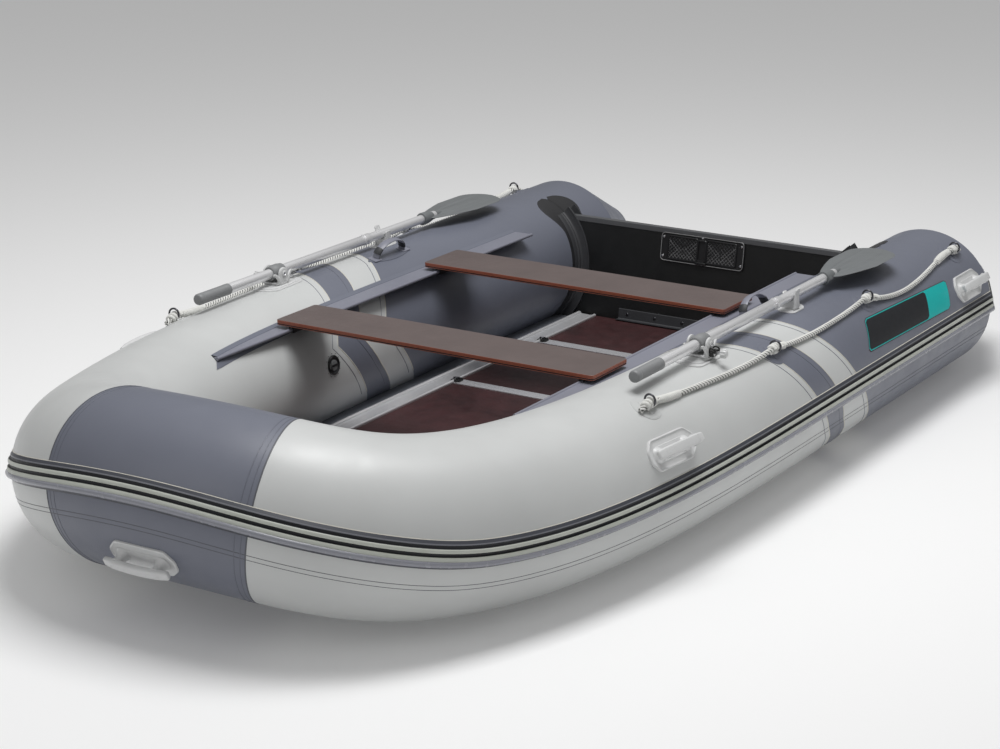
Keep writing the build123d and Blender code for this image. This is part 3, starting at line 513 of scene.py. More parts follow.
def box_outline(length, width, radius, count=5, at=(0.0, 0.0)):
    a, b = length / 2, width / 2
    return outline_of([(at[0] + x * a, at[1] + y * b) for x, y in ((-1, -1), (1, -1), (1, 1), (-1, 1))], radius,
                      count)


def round_outline(radius, count=40):
    return lambda inset=0.0: [((radius - inset) * cos(2 * pi * j / count),
                               (radius - inset) * sin(2 * pi * j / count)) for j in range(count)]


def cut_outline(length, width, cut, radius, count=5):
    a, b = length / 2, width / 2
    corners = ((a, b - cut), (a - cut, b), (cut - a, b), (-a, b - cut), (-a, cut - b), (cut - a, -b), (a - cut, -b),
               (a, cut - b))
    return outline_of(corners, radius, count)


def arc(first, last, count):
    return [first + (last - first) * i / count for i in range(count + 1)]


def circle(radius, count):
    return [(radius * cos(t), radius * sin(t)) for t in arc(0, 2 * pi, count)[:-1]]


def straight(origin, across, rise, out):
    """Placement in a flat frame given by its point and three directions."""
    return lambda a, b, c: origin + across * a + rise * b + out * c


# ---------------------------------------------------------------- tube panels
def angles_round(count=120):
    return [UNDER + 360.0 * j / count for j in range(count + 1)]


def panel(name, front, aft, rows, material, *nodes):
    """Panel of the side tubes between two seams; each seam is a function of the angle that gives q."""
    angles = angles_round()
    points = []
    for i in range(rows + 1):
        share = i / rows
        points += [skin(front(a) * (1 - share) + aft(a) * share, a) for a in angles]
    faces = [tuple(reversed(f)) for f in grid_faces(rows + 1, len(angles))]
    obj = piece(name, points, faces, [material], both=True, weld=True)
    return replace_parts(obj, *nodes)


def seam(table):
    return lambda angle: q_of_x(stepped(table, angle))


dark_seam, light_seam, aft_seam = seam(DARK_SEAM), seam(LIGHT_SEAM), seam(AFT_SEAM)
panel("front_panel_cloth", lambda a: BOW_SEAM, dark_seam, 90, MAT["light"], "front_panels")
panel("dark_band_cloth", dark_seam, light_seam, 8, MAT["slate"], "dark_bands")
panel("light_band_cloth", light_seam, aft_seam, 8, MAT["light"], "light_bands")
panel("aft_panel_cloth", aft_seam, lambda a: CONE_X - BOW_START_X, 40, MAT["slate"], "aft_panels")

nose_rows = 40
nose_points = []
for i in range(2 * nose_rows + 1):
    share = i / nose_rows
    q = BOW_SEAM + (1 - BOW_SEAM) * (share if share <= 1 else 2 - share)
    for angle in angles_round():
        p = skin(q, angle)
        nose_points.append(p if share <= 1 else mirrored(p))
nose = piece("nose_panel_cloth", nose_points, grid_faces(2 * nose_rows + 1, len(angles_round())), [MAT["slate"]],
             weld=True)
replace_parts(nose, "bow_panel")


def cone_ring(x, radius, z):
    return [Vector((x, SIDE_Y + radius * cos(radians(a)), z + radius * sin(radians(a))))
            for a in angles_round(96)[:-1]]


CONE_STEPS, TAIL_STEPS, TAIL_LIP = 24, 8, 0.012
cone_length = CONE_X - TAIL_X
cone_rings = []
for i in range(CONE_STEPS + 1):
    share = i / CONE_STEPS * (1 - TAIL_ROUND / cone_length)
    cone_rings.append((CONE_X - cone_length * share, TUBE_R + (TAIL_R - TUBE_R) * share,
                       TUBE_R - TAIL_FALL * share))
last_x, last_r, last_z = cone_rings[-1]
for i in range(1, TAIL_STEPS + 1):
    turn = pi / 2 * i / TAIL_STEPS
    cone_rings.append((last_x - TAIL_ROUND * sin(turn),
                       last_r - TAIL_LIP * i / TAIL_STEPS - TAIL_ROUND * (1 - cos(turn)), last_z))
for share in (0.6, 0.25, 0.02):
    cone_rings.append((TAIL_X - 0.0005 * (1 - share), (last_r - TAIL_LIP - TAIL_ROUND) * share, last_z))
cone_points = [p for x, r, z in cone_rings for p in cone_ring(x, r, z)]
cone_faces = [tuple(reversed(f)) for f in grid_faces(len(cone_rings), 96, wrap=True)]
cones = piece("tail_cone_moulding", cone_points, cone_faces, [MAT["slate"]], both=True, weld=True)
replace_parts(cones, "tail_cones")

# ---------------------------------------------------------------- rubbing strake
STRAKE_TURN, STRAKE_NOSE_TURN = 4.0, 16.5
STRAKE_LOW_SHARE = 0.55  # share of the bow curve where the strake is lowest
# (height on the tube, height above its skin, material of the stretch that follows), millimetres, top to bottom
# The pale top stretch (material 4) is a painted highlight along the strake's upper edge
STRAKE_PROFILE = ((38, 0.0, 4), (37.7, 1.3, 4), (36.4, 1.5, 0), (36.0, 2.2, 0), (29.4, 3.0, 0), (28.6, 4.4, 5),
                  (25.2, 4.8, 5), (24.4, 3.0, 1), (17.0, 3.0, 1), (16.2, 8.2, 2), (14.0, 9.6, 2), (7.4, 9.6, 2),
                  (5.2, 8.2, 2), (4.4, 3.2, 1), (-3.6, 3.2, 1), (-4.4, 9.0, 2), (-6.4, 10.6, 2), (-13.8, 11.4, 2),
                  (-15.6, 11.0, 3), (-17.2, 13.8, 3), (-19.8, 15.7, 3), (-23.0, 16.4, 3), (-26.4, 15.9, 3),
                  (-29.2, 14.0, 3), (-31.2, 11.0, 3), (-32.4, 7.0, 0), (-33.2, 2.8, 0), (-37.4, 1.5, 0),
                  (-38, 0.0, 0))


def eased(share):
    held = min(1.0, max(0.0, share))
    return held * held * (3 - 2 * held)


def strake_turn(q):
    """Degrees round the tube: the strake dips at the shoulder and climbs to the nose."""
    climb = STRAKE_NOSE_TURN * eased((q - STRAKE_LOW_SHARE) / (1 - STRAKE_LOW_SHARE))
    return STRAKE_TURN * (1 - eased(q / STRAKE_LOW_SHARE)) + climb


def strake_row(centre, outward, up, radius, turn):
    """Points of the strake's section on a tube of one radius."""
    out = outward * cos(radians(turn)) + up * sin(radians(turn))
    rise = up * cos(radians(turn)) - outward * sin(radians(turn))
    return [centre + out * (sqrt(radius**2 - (b / 1000) ** 2) + h / 1000) + rise * b / 1000
            for b, h, _ in STRAKE_PROFILE]


strake_rows = []
for i in range(1, 20):
    share = (1 - i / 20) * (1 - TAIL_ROUND / cone_length)
    centre = Vector((CONE_X - cone_length * share, SIDE_Y, TUBE_R - TAIL_FALL * share))
    strake_rows.append(strake_row(centre, Y, Z, TUBE_R + (TAIL_R - TUBE_R) * share, STRAKE_TURN))
for q in [(CONE_X - BOW_START_X) * (1 - i / 30) for i in range(31)] + [i / 120 for i in range(1, 121)]:
    centre, _, outward, up = axis_frame(q)
    strake_rows.append(strake_row(centre, outward, up, TUBE_R, strake_turn(q)))
strake_rows += [[mirrored(p) for p in row] for row in reversed(strake_rows[:-1])]
columns = len(STRAKE_PROFILE)
strake_faces = grid_faces(len(strake_rows), columns)
strake_marks = [STRAKE_PROFILE[k % (columns - 1)][2] for k in range(len(strake_faces))]
end = len(strake_rows) * columns
strake_faces += [tuple(range(columns)), tuple(reversed(range(end - columns, end)))]
strake_marks += [0, 0]
strake = piece("rub_strake_moulding", [p for row in strake_rows for p in row], strake_faces,
               [MAT[key] for key in ("strake_dark", "strake_black", "strake_light", "strake_bead", "seam_pale_and_highlight",
                                     "strake_line")], strake_marks, facing=True)
crease(strake, 50)
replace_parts(strake, "strake_bow", "strake_sides", "strake_tails")

# ---------------------------------------------------------------- seams and tapes on the tubes
def ribbon(name, lines, width, material, lift=0.0005, sides=True):
    """Thin strips on the skin, each along a list of (q, degrees) places."""
    shape = Shape()
    half, crown = width / 2, width * 0.3
    section = ((-half, -0.0014), (-half, 0.0), (-crown, 0.0004), (crown, 0.0004), (half, 0.0), (half, -0.0014))
    for line in lines:
        centre = [skin(q, angle, lift) for q, angle in line]
        loops = []
        for i, (q, angle) in enumerate(line):
            along = (centre[min(i + 1, len(line) - 1)] - centre[max(i - 1, 0)]).normalized()
            out = (skin(q, angle, lift + 0.01) - centre[i]).normalized()
            across = out.cross(along)
            loops.append([centre[i] + across * u + out * v for u, v in section])
        shape.loops(loops, 0)
    return shape.made(name, [material], both=sides)


def moved(q, run):
    """Place on the tube a run of metres further along its axis."""
    if max(q, q + run) <= 0:
        return q + run
    step = 0.01
    return q + run * step / (axis_frame(q + step)[0] - axis_frame(q)[0]).length


def seam_line(seam_at, first=-70.0, last=210.0, shift=0.0, count=90):
    return [(moved(seam_at(angle), shift), angle) for angle in arc(first, last, count)]


ribbon("seam_edge_pale_tape", [seam_line(dark_seam), seam_line(light_seam), seam_line(aft_seam)], 0.0035,
       MAT["seam_pale_and_highlight"])
ribbon("seam_inner_slate_tape", [seam_line(dark_seam, shift=0.030), seam_line(light_seam, shift=0.030),
                                 seam_line(aft_seam, shift=0.026)], 0.0022, MAT["slate_tape"], 0.0004)
NOSE_TURNS = arc(-100, 230, 90)
# The nose seam's edge line is drawn dark grey: painted shade along the tape edge
ribbon("nose_seam_edge_tape", [[(BOW_SEAM, a) for a in NOSE_TURNS]], 0.004, MAT["seam_shade_line"])
ribbon("nose_seam_inner_tape", [[(BOW_SEAM + shift, a) for a in NOSE_TURNS] for shift in (0.006, 0.013)], 0.0024,
       MAT["slate_tape"], 0.0004)


def chine(turn, spread):
    """Places under the strake, along the whole side and round to the nose."""
    places = [(q, turn + strake_turn(q) - STRAKE_TURN) for q in arc(CONE_X - BOW_START_X, 0, 30)]
    return places + [(q, turn + spread * q + strake_turn(q) - STRAKE_TURN) for q in arc(0.01, 1.0, 90)]


CHINE_TURN = -17.0
# The chine tapes' edges are drawn dark grey: painted shade along them
ribbon("chine_line_tape", [chine(CHINE_TURN, 0.0), chine(CHINE_TURN - 4.0, 1.0)], 0.0016, MAT["seam_shade_line"], 0.0002)

# ---------------------------------------------------------------- moulded handles
HANDLE_LENGTH, HANDLE_WIDTH, HANDLE_CUT, HANDLE_ROUND = 0.204, 0.090, 0.028, 0.022
HANDLE_POST, HANDLE_BAR, HANDLE_BAR_TOP = 0.062, 0.198, 0.0496
HANDLE_PLACES, NOSE_HANDLE_TURN = ((0.676, 29.0), (-1.338, 27.0)), -29.0  # (along the boat, degrees round the tube)
BAR_SAG, BAR_DEPTH, BAR_END = 0.0070, 0.0155, (-0.001, 0.0015, 0.0030, 0.0038)
HANDLE_RIB = mm(-12.5, 4, -10.5, 0.6, 10.5, 0.6, 12.5, 4)


def moulded_handle(shape, place):
    plate = cut_outline(HANDLE_LENGTH, HANDLE_WIDTH, HANDLE_CUT, HANDLE_ROUND, 6)
    shape.raised(place.on, plate, mm(0, -4, 0, 3, 0.8, 5.2, 2.6, 6.4, 4.6, 6.4, 6.8, 4.6, 9, 3.4), inner=6)
    shape.raised(place.on, cut_outline(HANDLE_LENGTH - 0.044, HANDLE_WIDTH - 0.044, HANDLE_CUT * 0.6, 0.010, 4),
                 mm(0, 2.6, 0, 4.4, 1.4, 5.6), inner=4)
    for side in (-1, 1):
        post = box_outline(0.024, 0.026, 0.008, 5, at=(side * HANDLE_POST, 0))
        levels = mm(-10, 3, -5.5, 6.2, -2.5, 10.5, -0.8, 16, 0, 22, -0.8, 28, -3, 33, -4.5, 36)
        shape.stacked(place.at, post, levels, 0)
    steps = arc(-1, 1, 48)
    path = [place.at(k * HANDLE_BAR / 2, 0, HANDLE_BAR_TOP - 0.0085 - BAR_SAG * k * k) for k in steps]
    scales = [1 - 0.16 * abs(k) ** 6 for k in steps]
    section = box_outline(0.029, 0.017, 0.0055, 4)()
    shape.swept(path, section, place.b, scales=scales)
    for end in (-1, 1):  # blunt rounded ends
        arch = HANDLE_BAR_TOP - BAR_DEPTH
        tip = [place.at(end * (HANDLE_BAR / 2 + d), 0, arch - 0.0002 * i) for i, d in enumerate(BAR_END)]
        shape.swept(tip, section, place.b, scales=(0.84, 0.80, 0.68, 0.50))
    for k in arc(-0.78, 0.78, 44):  # fine ribs across the grip's outer face
        arch = HANDLE_BAR_TOP - BAR_SAG * k * k
        rib = [place.at(k * HANDLE_BAR / 2, b, arch - drop) for b, drop in HANDLE_RIB]
        shape.swept(rib, circle(0.0008, 6), place.a)


handles = Shape()
for x, angle in HANDLE_PLACES:
    moulded_handle(handles, Patch(x, angle))
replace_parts(handles.made("side_handle_moulding", [MAT["grey"]], 35, both=True), "side_handles")
nose_handle = Shape()
moulded_handle(nose_handle, Patch(0, NOSE_HANDLE_TURN, q=1.0))
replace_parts(nose_handle.made("bow_handle_moulding", [MAT["grey"]], 35), "bow_handle")

# ---------------------------------------------------------------- rings, loop handles, valves
RING_PLACES = ((0.657, 62.0), (-0.004, 57.0), (-0.661, 57.0), (-1.379, 57.0))
RING_LOW, RING_RADIUS, RING_WIRE, RING_PATCH_R = 0.0075, 0.017, 0.003, 0.046
LOOP_PLACE, VALVE_PLACE = (-0.265, 103.0), (0.330, 172.0)
light_patches, dark_patches, rings = Shape(), Shape(), Shape()
for (x, angle), patches in zip(RING_PLACES, (light_patches, dark_patches, dark_patches, dark_patches)):
    place = Patch(x, angle)
    patches.raised(place.on, round_outline(RING_PATCH_R, 48), mm(0, -3, 0, 0.6, 0.6, 1.2, 3, 1.2, 3.6, 1.8),
                   inner=5)
    strap = box_outline(0.023, 0.052, 0.004, 3)
    patches.raised(place.on, strap, mm(0, 0, 0, 2.8, 0.6, 3.4), inner=4)
    over = [place.at(0, b, c) for b, c in mm(-11, 0.5, -8.5, 5, -5, 10, 0, 11.8, 5, 10, 8.5, 5, 11, 0.5)]
    patches.swept(over, box_outline(0.020, 0.0018, 0.0006, 2)(), place.a)
    wire = []
    for t in arc(-0.5 * pi, 1.5 * pi, 40)[:-1]:
        b, c = RING_RADIUS * cos(t), RING_RADIUS * sin(t)
        flat = max(0.0, -sin(t)) ** 2
        wire.append(place.at(0, b * (1 - 0.10 * flat), RING_LOW + RING_RADIUS + c * (1 - 0.02 * flat)))
    wire.append(wire[0])
    rings.swept(wire, circle(RING_WIRE, 12), place.a, caps=(False, False))
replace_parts(dark_patches.made("ring_patch_cloth", [MAT["slate"]], both=True), "ring_patches")
light_patches.made("front_ring_patch_cloth", [MAT["light_tape"]], both=True)
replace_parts(rings.made("lifeline_ring_wire", [MAT["dark_steel"]], both=True), "lifeline_rings")

loop_place = Patch(*LOOP_PLACE)
loops = Shape()


def leaf(inset=0.0):
    """Outline of a loop handle's patch, narrower toward its front."""
    return [((0.120 - inset) * cos(t) * (1 + 0.18 * cos(t) ** 2) / 1.18,
             (0.031 - inset) * sin(t) * (1 - 0.25 * max(0, cos(t)) ** 3)) for t in arc(0, 2 * pi, 56)[:-1]]


loops.raised(loop_place.on, leaf, mm(0, -3, 0, 0.8, 0.6, 1.6, 4, 1.6, 5, 2.2), inner=6)
for side in (-1, 1):
    foot = box_outline(0.040, 0.036, 0.004, 3, at=(side * 0.083, 0))
    loops.stacked(loop_place.on, foot, mm(0, 1, 0, 4, 0.8, 4.8, 6, 5.2), 1)
strap_path = [loop_place.at(-0.075 * cos(t), 0, 0.002 + 0.050 * sin(t) ** 0.85) for t in arc(0.04, pi - 0.04, 40)]
crowned = [(u, 0.0030 * (1 - (u / 0.012) ** 2) + 0.0016) for u in arc(-0.012, 0.012, 8)]
loops.swept(strap_path, crowned + [(u, -v * 0.5) for u, v in reversed(crowned)], loop_place.b, mark=1)
sleeve_section = [(u * 1.12, v * 1.7) for u, v in crowned] + [(u * 1.12, -v) for u, v in reversed(crowned)]
for first, last in ((2, 8), (32, 38)):
    loops.swept(strap_path[first:last], sleeve_section, loop_place.b, mark=2)
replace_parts(loops.made("loop_handle_webbing", [MAT["slate_tape"], MAT["slate_pale"], MAT["charcoal"]], both=True),
            "loop_handles")

valve_place = Patch(*VALVE_PLACE)
valves = Shape()
valves.turned(valve_place.at(0, 0, 0), valve_place.c, valve_place.a,
              mm(-4, 31, 2.2, 31, 4, 30, 5.2, 28, 5.2, 26.2, 4, 24.5, 1, 23.8, -0.2, 20, -0.2, 0.5), 48,
              (0, 0, 0, 0, 0, 1, 1, 1))
valves.turned(valve_place.at(0, 0, 0), valve_place.c, valve_place.a,
              mm(-1, 17, 4.2, 16.5, 5.6, 15, 5.6, 0.5), 40, 2)
valves.block(valve_place.at, (-0.015, -0.0035, 0.005), (0.015, 0.0035, 0.0094), 0.0012)
for turn in arc(0, 2 * pi, 12)[:-1]:
    spot = valve_place.at(0.0255 * cos(turn) * 1.45, 0.0255 * sin(turn) * 1.45, 0.0)
    valves.turned(spot, valve_place.c, valve_place.a, mm(-1, 1.6, 0.8, 1.4, 1.2, 0.2), 8, 2)
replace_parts(valves.made("air_valve_body", [MAT["black"], MAT["charcoal"], MAT["grip"]], both=True), "air_valves")

# ---------------------------------------------------------------- rowlocks and clips
OAR_Y, OAR_Z, OAR_R = 0.748, 0.515, 0.016
ROWLOCK_X, CLIP_X, CLIP_HALF = 0.249, -0.348, 0.013
COLLAR_R, COLLAR_GAP, FORK_FLOOR, COLLAR_HALF = 0.025, 0.0024, 0.008, 0.031
tube_top = 2 * TUBE_R
OAR_TURN = 90 - degrees(asin((OAR_Y - SIDE_Y) / TUBE_R))  # degrees round the tube, under the oar
rowlock_place = Patch(ROWLOCK_X, OAR_TURN)


def slot(length, width, count=14):
    """Outline with round ends."""
    return box_outline(length, width, width / 2 - 0.0002, count)


rowlocks = Shape()
rowlocks.raised(rowlock_place.on, slot(0.200, 0.096), mm(0, -4, 0, 2.2, 1.2, 3.4, 6, 3.4, 8, 2.2), inner=6)
rowlocks.raised(rowlock_place.on, slot(0.150, 0.074), mm(0, 0, 0, 3.6, 2, 4.8), inner=5)
swivel_top = OAR_Z - COLLAR_R - COLLAR_GAP - FORK_FLOOR
rowlocks.turned(Vector((ROWLOCK_X, OAR_Y, 0)), Z, X, ((tube_top - 0.004, 0.036), (tube_top + 0.0015, 0.036),
                                                      (tube_top + 0.0036, 0.0335), (swivel_top, 0.031),
                                                      (swivel_top, 0.0005)), 40)
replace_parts(rowlocks.made("rowlock_pad_moulding", [MAT["grey"]], both=True), "rowlock_bases")

forks = Shape()
fork_put = straight(Vector((ROWLOCK_X, OAR_Y, 0)), X, Y, Z)
forks.stacked(fork_put, box_outline(0.062, 0.070, 0.012, 5), ((0.004, swivel_top + 0.0002),
                                                              (0.001, swivel_top + 0.001), (0, swivel_top + 0.003),
                                                              (0.0, swivel_top + 0.0060), (0.002,
        swivel_top + 0.0078)))
for side in (-1, 1):
    inner_y = side * (COLLAR_R + 0.0006)
    cheek = straight(Vector((ROWLOCK_X, OAR_Y + inner_y, swivel_top + 0.004)), X, Z, Y * side)
    height = OAR_Z - swivel_top - 0.004
    profile = [(0.021 * cos(t), height + 0.019 * sin(t)) for t in arc(0, pi, 16)]
    profile += [(-0.024, height * 0.5), (-0.030, 0), (0.030, 0), (0.024, height * 0.5)]
    centre_b = height * 0.6

    def shrunk(inset, profile=profile, centre_b=centre_b):
        keep = 1 - inset / 0.021
        return [(a * keep, centre_b + (b - centre_b) * keep) for a, b in profile]

    forks.stacked(cheek, shrunk, mm(1.2, 0, 0, 1, 0, 6, 1.2, 7.8, 3.5, 8.6))
    forks.turned(cheek(0, height, 0.006), Y * side, X, mm(0, 9.5, 4, 9.2, 5.2, 8, 5.6, 5, 4, 4.2, 4, 0.4), 24,
                 (0, 0, 0, 1, 1))
    # a wing that leans over the oar fore and aft of its cheek
    for end in (-1, 1):
        wing = [fork_put(end * (0.016 + 0.030 * t), side * (0.0315 - 0.004 * t * t),
                         swivel_top + 0.006 + 0.030 * sin(t * pi * 0.55)) for t in arc(0, 1, 12)]
        forks.swept(wing, box_outline(0.009, 0.014, 0.004, 3)(), Y, scales=[1.0 - 0.45 * t for t in arc(0, 1, 12)])
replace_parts(forks.made("rowlock_fork_moulding", [MAT["grey"], MAT["steel"]], both=True), "rowlock_forks")

clamp = Shape()
clamp_put = straight(Vector((ROWLOCK_X - 0.004, OAR_Y + 0.036, swivel_top + 0.004)), X, Y, Z)
clamp.block(clamp_put, (-0.018, 0.000, -0.002), (0.018, 0.014, 0.014), 0.002)
clamp.swept([clamp_put(0.0, y, 0.006 + z) for y, z in mm(10, 0, 22, 2, 34, 3)], circle(0.0042, 14), X, 1)
for end in (-1, 1):
    clamp.swept([clamp_put(end * 0.013, 0.007 + 0.010 * cos(t), 0.014 + 0.008 * sin(t))
                 for t in arc(-0.6, pi + 0.6, 16)], circle(0.0026, 10), X)
    clamp.turned(clamp_put(end * 0.012, 0.0135, 0.006), Y, X, mm(0, 4.2, 1.8, 4, 2.6, 2.4, 2.2, 0.2), 14, 1)
knob = clamp_put(0.0, 0.030, 0.009)
clamp.turned(knob, Y, X, mm(-2, 6, 1, 10.5, 6, 11.8, 14, 11.2, 18, 8.5, 19, 0.5), 32, 2)
for j in range(9):
    t = 2 * pi * j / 9
    clamp.swept([knob + X * 0.0112 * cos(t) + Z * 0.0112 * sin(t) + Y * y for y in (0.000, 0.003, 0.012, 0.016)],
                circle(0.0028, 8), X, 2, scales=(0.5, 1.0, 1.0, 0.5))
clamp.made("rowlock_clamp_and_knob", [MAT["black"], MAT["steel"], MAT["grey"]], both=True)

clips = Shape()
clip_place = Patch(CLIP_X, OAR_TURN)
clips.raised(clip_place.on, slot(0.112, 0.062), mm(0, -4, 0, 2, 1.2, 3.4, 6, 3.4, 8.5, 2), inner=5)
inner_r = OAR_R + 0.0007
for side, top in ((1, 0.024), (-1, 0.010)):
    arm = []
    for z in arc(tube_top + 0.001, OAR_Z + top, 16):
        rise = (z - tube_top) / (OAR_Z + top - tube_top)
        bend = 0.0
        if z > OAR_Z:
            bend = -0.002 * sin(min(1, (z - OAR_Z) / 0.012) * pi) * (1 if side > 0 else 0.4)
        arm.append((z, inner_r + 0.0035 + max(0.0, (z - OAR_Z - 0.008)) * 0.25 + bend * 0.3,
                    0.013 + 0.006 * (1 - rise) ** 2 - (0.0035 if rise > 0.97 else 0.0)))
    rows = []
    for z, y, half in arm:
        section = box_outline(2 * half, 0.0062, 0.0026, 3)()
        rows.append([Vector((CLIP_X + a, OAR_Y + side * (y + b), z)) for a, b in section])
    clips.loops(rows)
saddle = [(inner_r * cos(t), OAR_Z + inner_r * sin(t)) for t in arc(-pi + 0.12, -0.12, 16)]
saddle += [(0.021, OAR_Z - 0.004), (0.022, tube_top), (-0.022, tube_top), (-0.021, OAR_Z - 0.004)]
clips.loops([[Vector((x, OAR_Y + y, z)) for y, z in saddle] for x in (CLIP_X - CLIP_HALF, CLIP_X + CLIP_HALF)])
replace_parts(clips.made("oar_clip_moulding", [MAT["grey"]], 35, both=True), "oar_clips")

# ---------------------------------------------------------------- oars
BLADE_START, BLADE_TIP, BLADE_HALF, GRIP_RIBS = -0.616, -1.010, 0.0825, 22


def blade_half_width(t):
    """Half width of the blade at a share of its length from the shaft."""
    rise = min(1.0, 0.24 + 1.18 * t ** 0.62)
    shoulder = sqrt(max(0.0, 1 - max(0.0, (t - 0.80) / 0.205) ** 2.4))
    return BLADE_HALF * rise * shoulder


def blade_height(t, s):
    """Half thickness of the blade: a spine that dies out, two side ribs and a rounded edge."""
    body = 0.0028 * sqrt(max(0.0, 1 - s ** 8))
    spine = 0.0058 * max(0.0, 1 - t * 1.25) ** 0.8 * max(0.0, 1 - (abs(s) / (0.20 + 0.05 * t)) ** 2)
    rib = 0.0022 * max(0.0, 1 - ((abs(s) - 0.46) / 0.055) ** 2) * (1 if 0.16 < t < 0.86 else 0)
    groove = -0.0008 * max(0.0, 1 - ((abs(s) - 0.30) / 0.10) ** 2) * (1 if 0.1 < t < 0.9 else 0)
    return max(0.0004, body + spine + rib + groove)


for side, name in ((1, "port"), (-1, "starboard")):
    body = f"{name}_oar"
    axis = Vector((0, side * OAR_Y, OAR_Z))
    shaft = Shape()
    shaft.turned(axis, X, Y, ((0.500, 0.0155), (0.498, OAR_R), (-0.231, OAR_R), (-0.2325, OAR_R - 0.0006),
                              (-0.262, OAR_R - 0.0010), (-0.640, OAR_R - 0.0010), (-0.660, 0.0135),
                              (-0.664, 0.010)), 40)
    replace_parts(shaft.made(f"{name}_oar_tube", [MAT["alu"]], 30, body=body), f"{name}_oar_shaft")
    grip = Shape()
    profile = list(mm(640, 0.4, 640, 13, 638.5, 15.8, 634, 17.5, 624, 17.8))
    for i in range(GRIP_RIBS):
        x = 0.618 - i * 0.0050
        profile += [(x, 0.0175), (x - 0.0012, 0.0170), (x - 0.0030, 0.0170), (x - 0.0042, 0.0175)]
    profile += mm(498, 17.8, 491, 17.6, 490, 16)
    grip.turned(axis, X, Y, profile, 40)
    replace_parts(grip.made(f"{name}_oar_grip_rubber", [MAT["grip"]], 50, body=body), f"{name}_oar_grip")
    collar = Shape()
    front = ((COLLAR_HALF, 0.0164), (COLLAR_HALF, 0.0200), (COLLAR_HALF - 0.002, 0.0222), (0.014, 0.0236),
             (0.012, 0.0246))
    collar.turned(axis + X * ROWLOCK_X, X, Y, front + tuple((-x, radius) for x, radius in reversed(front)), 40)
    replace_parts(collar.made(f"{name}_oar_collar_moulding", [MAT["grip"]], 30, body=body), f"{name}_oar_collar")
    sleeve = Shape()
    sleeve.turned(axis, X, Y, mm(-230, 16.1, -230, 18.4, -231.5, 19, -234.5, 19, -236, 18.4, -236, 17.6, -262, 17.6,
                                 -263.5, 17, -264, 15.8), 40)
    sleeve.turned(axis + X * -0.222 + Y * side * 0.0140 + Z * 0.004, Y * side, X,
                  mm(0, 3, 3, 2.8, 4, 1.6, 4.2, 0.2), 12, 1)
    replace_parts(sleeve.made(f"{name}_oar_joint_sleeve", [MAT["alu"], MAT["steel"]], 30, body=body),
                f"{name}_oar_joint_ring")
    blade = Shape()
    across = arc(-1, 1, 44)
    top, bottom = [], []
    for t in arc(0, 1, 70):
        x = BLADE_START + (BLADE_TIP - BLADE_START) * (1 - (1 - t) ** 1.35)
        t_real = (x - BLADE_START) / (BLADE_TIP - BLADE_START)
        half = max(0.004, blade_half_width(t_real))
        top.append([axis + X * x + Y * half * s + Z * blade_height(t_real, s) for s in across])
        bottom.append([axis + X * x + Y * half * s - Z * blade_height(t_real, s) for s in across])
    blade.loops([above + list(reversed(below)) for above, below in zip(top, bottom)])
    blade.turned(axis, X, Y, mm(-580, 16.4, -580, 20.5, -584, 21.5, -610, 20.8, -640, 15, -700, 9, -704, 2), 36)
    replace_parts(blade.made(f"{name}_oar_blade_moulding", [MAT["blade"]], 40, body=body), f"{name}_oar_blade")

# ---------------------------------------------------------------- floor
STRINGER_FRONT, STRINGER_AFT = 0.4218, -1.170
BOARD_JOINTS = (0.420, -0.250, -0.800)
INNER_BEAD_Y, INNER_BEAD_R, OUTER_BEAD_Y, OUTER_BEAD_R = 0.398, 0.0055, 0.4615, 0.0085
stringer_profile = [(0.3935, 0.0803)]
stringer_profile += [(INNER_BEAD_Y + INNER_BEAD_R * cos(t), 0.0858 + INNER_BEAD_R * sin(t))
                     for t in arc(pi + 0.5, 0.25, 10)]
stringer_profile += [(0.4060, 0.0846), (0.4400, 0.0846), (0.4490, 0.0850)]
stringer_profile += [(OUTER_BEAD_Y + OUTER_BEAD_R * cos(t), 0.0840 + OUTER_BEAD_R * sin(t))
                     for t in arc(pi - 0.25, 0.0, 12)]
stringer_profile += [(0.4700, 0.0575), (0.4523, 0.0575), (0.4523, 0.0677), (0.4160, 0.0677), (0.4160, 0.0707),
                     (0.4523, 0.0707), (0.4523, 0.0803)]
stringers = Shape()
stringers.loops([[Vector((x, y, z)) for y, z in stringer_profile] for x in (STRINGER_AFT, STRINGER_FRONT)])
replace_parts(stringers.made("floor_side_stringer", [MAT["profile"]], 30, both=True), "floor_stringers")

floor_clips = Shape()
for x in BOARD_JOINTS:
    put = straight(Vector((x, INNER_BEAD_Y - 0.006, 0.0845)), X, Y, Z)
    floor_clips.block(put, (-0.019, -0.010, -0.001), (0.019, 0.016, 0.0065), 0.0018)
    floor_clips.block(put, (-0.013, -0.016, 0.000), (0.013, -0.008, 0.0045), 0.0014)
    floor_clips.swept([put(0.0105 * cos(t), 0.003 + 0.0085 * sin(t), 0.0095 + 0.002 * cos(t))
                       for t in arc(0, 2 * pi, 28)], circle(0.0022, 10), Z, 1, caps=(False, False))
floor_clips.made("stringer_lock_clip", [MAT["black"], MAT["dark_steel"]], both=True)

